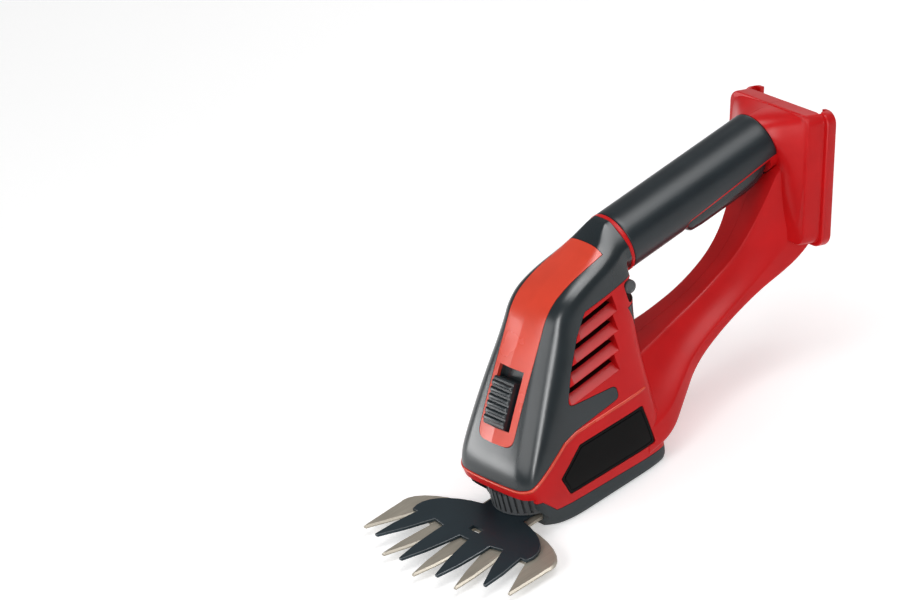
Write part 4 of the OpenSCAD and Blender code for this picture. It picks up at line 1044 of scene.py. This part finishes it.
def makeTrigger():  # sections along the handle: flat on top, round at the lower corners
    front, end = trigger["front"], trigger["under"][-1, 0]
    run, pinch, edge = trigger["endRun"], trigger["endPinch"], trigger["edge"]
    stations = np.array(trigger["stations"] + [end - back for back in trigger["endStations"]])
    low = np.interp(stations, *trigger["under"].T)
    half = trigger["w"] / 2 - np.interp(stations, [front, front + run, end - run, end], [pinch, 0, 0, pinch])
    top = splitH(stations) - form["move"]
    r = np.minimum(trigger["round"], (top - low) * trigger["roundShare"])
    a = np.linspace(0, math.pi / 2, trigger["cornerSteps"])
    out, down = np.outer(r, np.cos(a)), np.outer(r, np.sin(a))
    corner = np.stack([(half - r)[:, None] + out, (low + r)[:, None] - down], axis=-1)
    upper = np.stack([np.stack([half - edge, top], -1), np.stack([half, top - edge], -1)], axis=1)
    sideRun = np.concatenate([upper, corner], axis=1)
    ring = np.concatenate([sideRun, sideRun[:, ::-1] * (-1, 1)], axis=1)
    along = np.broadcast_to(stations[:, None, None], ring[..., :1].shape)
    rings = np.concatenate([ring[..., :1], along, ring[..., 1:]], axis=-1)
    lever = skin("trigger_lever_shell", placedBy(handleFrame, rings))
    wide, high, middle = trigger["tongue"] / 2, trigger["tongueHalf"], trigger["pinH"]
    tongue = box("tongue", -wide, wide, triggerRear - trigger["tongueLead"],
                 triggerRear + trigger["tail"] - 2 * form["move"], middle - high, middle + high, handleFrame)
    carve(lever, ("UNION", tongue), ("DIFFERENCE", pinHole()))
    dress(lever, "trigger_lever_shell", "trigger_lever", "darkPlastic", "trigger")


spring = {"at": 62.0, "r": 3.2, "wire": 0.9, "turns": 6, "steps": 28, "sides": 10, "sunk": 0.1, "keep": 0.775}


def makeSpring():  # a round wire carried along a helix
    at, r, half, turns = spring["at"], spring["r"], spring["wire"] / 2, spring["turns"]
    low = handlePoint(at, splitH(at))[1] - spring["sunk"]
    high = handlePoint(at, math.sqrt(cavityR ** 2 - (r + half) ** 2))[1] - form["move"]
    middle = handlePoint(at, 0)[0]
    t = np.linspace(0, 2 * np.pi * turns, turns * spring["steps"] + 1)
    out = np.column_stack([np.cos(t), np.sin(t), np.zeros_like(t)])
    line = r * out + np.column_stack([0 * t, 0 * t + middle, np.linspace(low + half, high - half, len(t))])
    a = fullTurn(spring["sides"])[None, :, None]
    rings = line[:, None] + half * (np.cos(a) * out[:, None] - np.sin(a) * np.array([0, 0, 1.0]))
    coil = skin("trigger_spring_coil", rings)
    dress(coil, "trigger_spring_coil", "body", "zincSteel", "trigger_spring", sharpAngle=50)
    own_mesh(coil)


makeSleeve()
makeRing()
makeTrigger()
makeSpring()
print("stage: grip and trigger")


# Slider, lock button, screws and blades

def makeSlider():  # a side profile with rounded ribs, cut to a rounded front view
    half, run, deep = slider["w"] / 2, slider["len"] / 2, slider["depth"] - form["move"]
    edge, proud, plain = slider["edge"], slider["proud"], slider["plain"]
    top, start, low = proud - slider["ribRise"], slider["lowCut"] - run, -deep - past
    pitch = (run - start - 2 * plain) / slider["ribs"]
    line = [(start, -deep), (start, top - edge), (start + edge, top)]
    for i in range(slider["ribs"]):
        middle = start + plain + (i + 0.5) * pitch
        line += [(middle + share * pitch, top + rise * slider["ribRise"]) for share, rise in slider["rib"]]
    line += [(run - edge, top), (run, top - edge), (run, -deep)]
    made = prism("release_slider_ribbed", line, -half, half, slopeFrame)
    front = roundedOutline([(-half, low), (half, low), (half, proud), (-half, proud)], slider["round"])
    sides = prism("sliderSides", front, -beside, beside, slopeFrame @ Matrix.Rotation(math.pi / 2, 4, "Z"))
    carve(made, ("INTERSECT", sides))
    dress(made, "release_slider_ribbed", "blade_release", "darkPlastic", "release_slider",
          sharpAngle=40)


def makeLock():
    r, end = lock["r"], lock["outer"]
    profile = [(r, lock["inner"])] + [(r - inset, end - back) for inset, back in lock["nose"]]
    made = lathe("lock_button_lug", profile, crossFrame(*lockAt), sides=64)
    dress(made, "lock_button_lug", "lock_off", "lugPlastic", "lock_button")


def crossScrew(low, high, headLow, turn):  # shank, rounded head and a cross recess, along the local y axis
    r, big, deep = screws["d"] / 2, screws["headD"] / 2, headLow + screws["headH"] * screws["crossDeep"]
    crown = [(big - inset, headLow + back) for inset, back in screws["crown"]]
    made = lathe("screw", [(r, high), (r, low), (big, low), *crown], turn, sides=48)
    for wide, thick in (screws["cross"], screws["cross"][::-1]):
        recess = box("recess", -wide, wide, headLow - screws["crossLead"], deep, -thick, thick, turn)
        carve(made, ("DIFFERENCE", recess))
    return made


def makeScrews():
    seat = -screws["seat"]
    made = {
        "housing_screws": [crossScrew(seat, screws["grip"], seat - screws["headH"], crossFrame(*spot))
                           for spot in onHead(screws["shares"])],
        "sole_screws": [crossScrew(screws["soleSeat"], screws["soleTop"], screws["soleHead"], postFrame(*spot))
                        for spot in soleScrews],
    }
    for name, (first, *others) in made.items():
        carve(first, ("UNION", *others))
        dress(first, name + "_cross", "body", "zincSteel", name)


ground = {"bevel": 0.9, "reach": 66.0, "seed": (-0.4, 0.4, 55.6, 56.4), "seedHalf": 0.3,
          "window": (6.0, 42.0, 48.0), "merge": 2e-6, "flat": math.radians(1), "flush": 0.01, "upright": 0.5,
          "bright": (0.2, 0.95)}


def groundBlade(nodeName, body, look):  # the blade's outline with a ground bevel along its teeth
    mesh = nodes[nodeName].data.copy()
    mesh.transform(nodes[nodeName].matrix_world)
    made = linked(nodeName + "_ground", mesh)
    low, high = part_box(nodeName)
    z = (low.z + high.z) / 2 * perMetre
    join = made.modifiers.new("join", "BOOLEAN")  # joins the teeth, which only touch, into one skin
    join.operation, join.solver, join.use_self = "UNION", "EXACT", True
    join.object = box("seed", *ground["seed"], z - ground["seedHalf"], z + ground["seedHalf"])
    mesh = carve(made).data
    work = bmesh.new()
    work.from_mesh(mesh)
    bmesh.ops.remove_doubles(work, verts=work.verts, dist=ground["merge"])
    bmesh.ops.dissolve_limit(work, angle_limit=ground["flat"], verts=work.verts, edges=work.edges)
    top = max(vert.co.z for vert in work.verts) * perMetre - ground["flush"]
    wide, front, rear = ground["window"]
    rim = []
    for edge in work.edges:
        ends = [inMm(vert.co) for vert in edge.verts]
        onTop = all(end.z > top and end.y < ground["reach"] for end in ends)
        inWindow = all(abs(end.x) < wide and front < end.y < rear for end in ends)  # the window stays square
        if onTop and not inWindow and any(abs(face.normal.z) < ground["upright"] for face in edge.link_faces):
            rim.append(edge)
    bmesh.ops.bevel(work, geom=rim, offset=ground["bevel"] * mm, offset_type="OFFSET", segments=1, profile=0.5,
                    affect="EDGES", clamp_overlap=True)
    bright = work.faces.layers.float.new("edge")
    low, high = ground["bright"]
    for face in work.faces:
        face[bright] = float(low < face.normal.z < high)
    work.to_mesh(mesh)
    work.free()
    dress(made, nodeName + "_ground", body, look, nodeName, sharpAngle=20)


makeSlider()
makeLock()
makeScrews()
groundBlade("fixed_blade", "body", "bareSteel")
groundBlade("moving_blade", "top_blade", "coatedSteel")
print("stage: slider, lock, screws and blades")


# Camera from the photo's fit, floor and soft studio light

view = {"turn": (2.01694, 0.798129, -0.771979), "shift": (-18.71955, 148.12629, 3661.12506), "focus": 6981.6,
        "width": 901.0, "sensor": 36.0, "clip": (0.1, 50.0)}


def makeCamera():
    axis = Vector(view["turn"])
    turn = Matrix.Rotation(axis.length, 3, axis.normalized())  # world to camera, x right, y down, z ahead
    place = -(turn.transposed() @ Vector(view["shift"]))
    data = bpy.data.cameras.new("photoCamera")
    data.sensor_width = view["sensor"]
    data.lens = view["focus"] / view["width"] * data.sensor_width
    data.clip_start, data.clip_end = view["clip"]
    camera = linked("photoCamera", data)
    basis = Matrix((turn[0], -turn[1], -turn[2])).transposed().to_4x4()
    basis.translation = (place - Vector((0, midY, 0))) * mm
    camera.matrix_world = basis
    scene.camera = camera


reflected = ("edgeBox", "bandBox", "lowBox")  # lamps that only show as highlights
lamps = {  # direction from the object, distance, width, height, power
    "frontBox": ((-0.05, -0.88, 0.48), 1.3, 1.3, 0.6, 8.0),
    "sideBox": ((0.93, -0.10, 0.45), 1.5, 0.8, 0.9, 3.6),
    "edgeBox": ((0.66, -0.62, 0.42), 1.5, 0.26, 0.9, 12.0),
    "bandBox": ((0.42, 0.20, 0.90), 1.4, 0.50, 1.1, 11.5),
    "lowBox": ((-0.75, -0.66, 0.10), 1.5, 0.7, 0.30, 6.0),
    "topBox": ((0.20, 0.30, 0.95), 1.3, 0.5, 1.1, 5.2),
    "rearBox": ((-0.45, 0.85, 0.50), 1.5, 0.9, 0.7, 3.0),
}
studio = {"centre": (0, 0, 0.06), "world": 0.26, "floor": 6.0, "drop": 0.0004, "tones": (0.86, 0.89),
          "cloud": 3.0, "rough": 0.8, "seen": (0.0, 0.40)}
white = (1, 1, 1, 1)


def seenLevel(tree, low, high):  # the high value for rays that see the background, the low one for its light
    rays = tree.nodes.new("ShaderNodeLightPath")
    total = rays.outputs["Is Camera Ray"]
    for kind in ("Is Glossy Ray", "Is Transmission Ray"):
        either = tree.nodes.new("ShaderNodeMath")
        either.operation = "MAXIMUM"
        tree.links.new(total, either.inputs[0])
        tree.links.new(rays.outputs[kind], either.inputs[1])
        total = either.outputs["Value"]
    level = tree.nodes.new("ShaderNodeMapRange")
    level.inputs["To Min"].default_value, level.inputs["To Max"].default_value = low, high
    tree.links.new(total, level.inputs["Value"])
    return level.outputs["Result"]


def makeLight():
    for name, (direction, distance, wide, high, power) in lamps.items():
        data = bpy.data.lights.new(name, "AREA")
        data.shape, data.size, data.size_y, data.energy = "RECTANGLE", wide, high, power
        lamp = linked(name, data)
        lamp.visible_diffuse = name not in reflected
        lamp.visible_glossy = name != "sideBox"  # keeps the dark sides dark
        away = Vector(direction).normalized()
        lamp.location = Vector(studio["centre"]) + away * distance
        lamp.rotation_mode = "QUATERNION"
        lamp.rotation_quaternion = away.to_track_quat("Z", "Y")
    scene.world = bpy.data.worlds.new("studio")
    scene.world.use_nodes = True
    back = scene.world.node_tree.nodes["Background"]
    back.inputs["Color"].default_value = white
    back.inputs["Strength"].default_value = studio["world"]


def makeFloor():
    size = studio["floor"]
    mesh = bpy.data.meshes.new("floor")
    corners = [(-size, -size, 0), (size, -size, 0), (size, size, 0), (-size, size, 0)]
    mesh.from_pydata(corners, [], [(0, 1, 2, 3)])
    floor = linked("floor", mesh)
    floor.location.z = -studio["drop"]
    pale = bpy.data.materials.new("paleFloor")
    pale.use_nodes = True
    tree = pale.node_tree
    shader = tree.nodes["Principled BSDF"]
    cloud = tree.nodes.new("ShaderNodeTexNoise")
    cloud.inputs["Scale"].default_value = studio["cloud"]
    coords = tree.nodes.new("ShaderNodeTexCoord")
    tone = tree.nodes.new("ShaderNodeValToRGB")
    for stop, grey in zip(tone.color_ramp.elements, studio["tones"]):
        stop.color = (grey, grey, grey, 1)
    tree.links.new(coords.outputs["Object"], cloud.inputs["Vector"])
    tree.links.new(cloud.outputs["Fac"], tone.inputs["Fac"])
    tree.links.new(tone.outputs["Color"], shader.inputs["Base Color"])
    shader.inputs["Roughness"].default_value = studio["rough"]
    shader.inputs["Emission Color"].default_value = white
    tree.links.new(seenLevel(tree, *studio["seen"]), shader.inputs["Emission Strength"])
    mesh.materials.append(pale)


makeCamera()
makeLight()
makeFloor()
scene.view_settings.view_transform = "Standard"
print("stage: camera, light and floor")

for scrap in scraps:
    mesh = scrap.data
    bpy.data.objects.remove(scrap)
    if mesh.users == 0:
        bpy.data.meshes.remove(mesh)
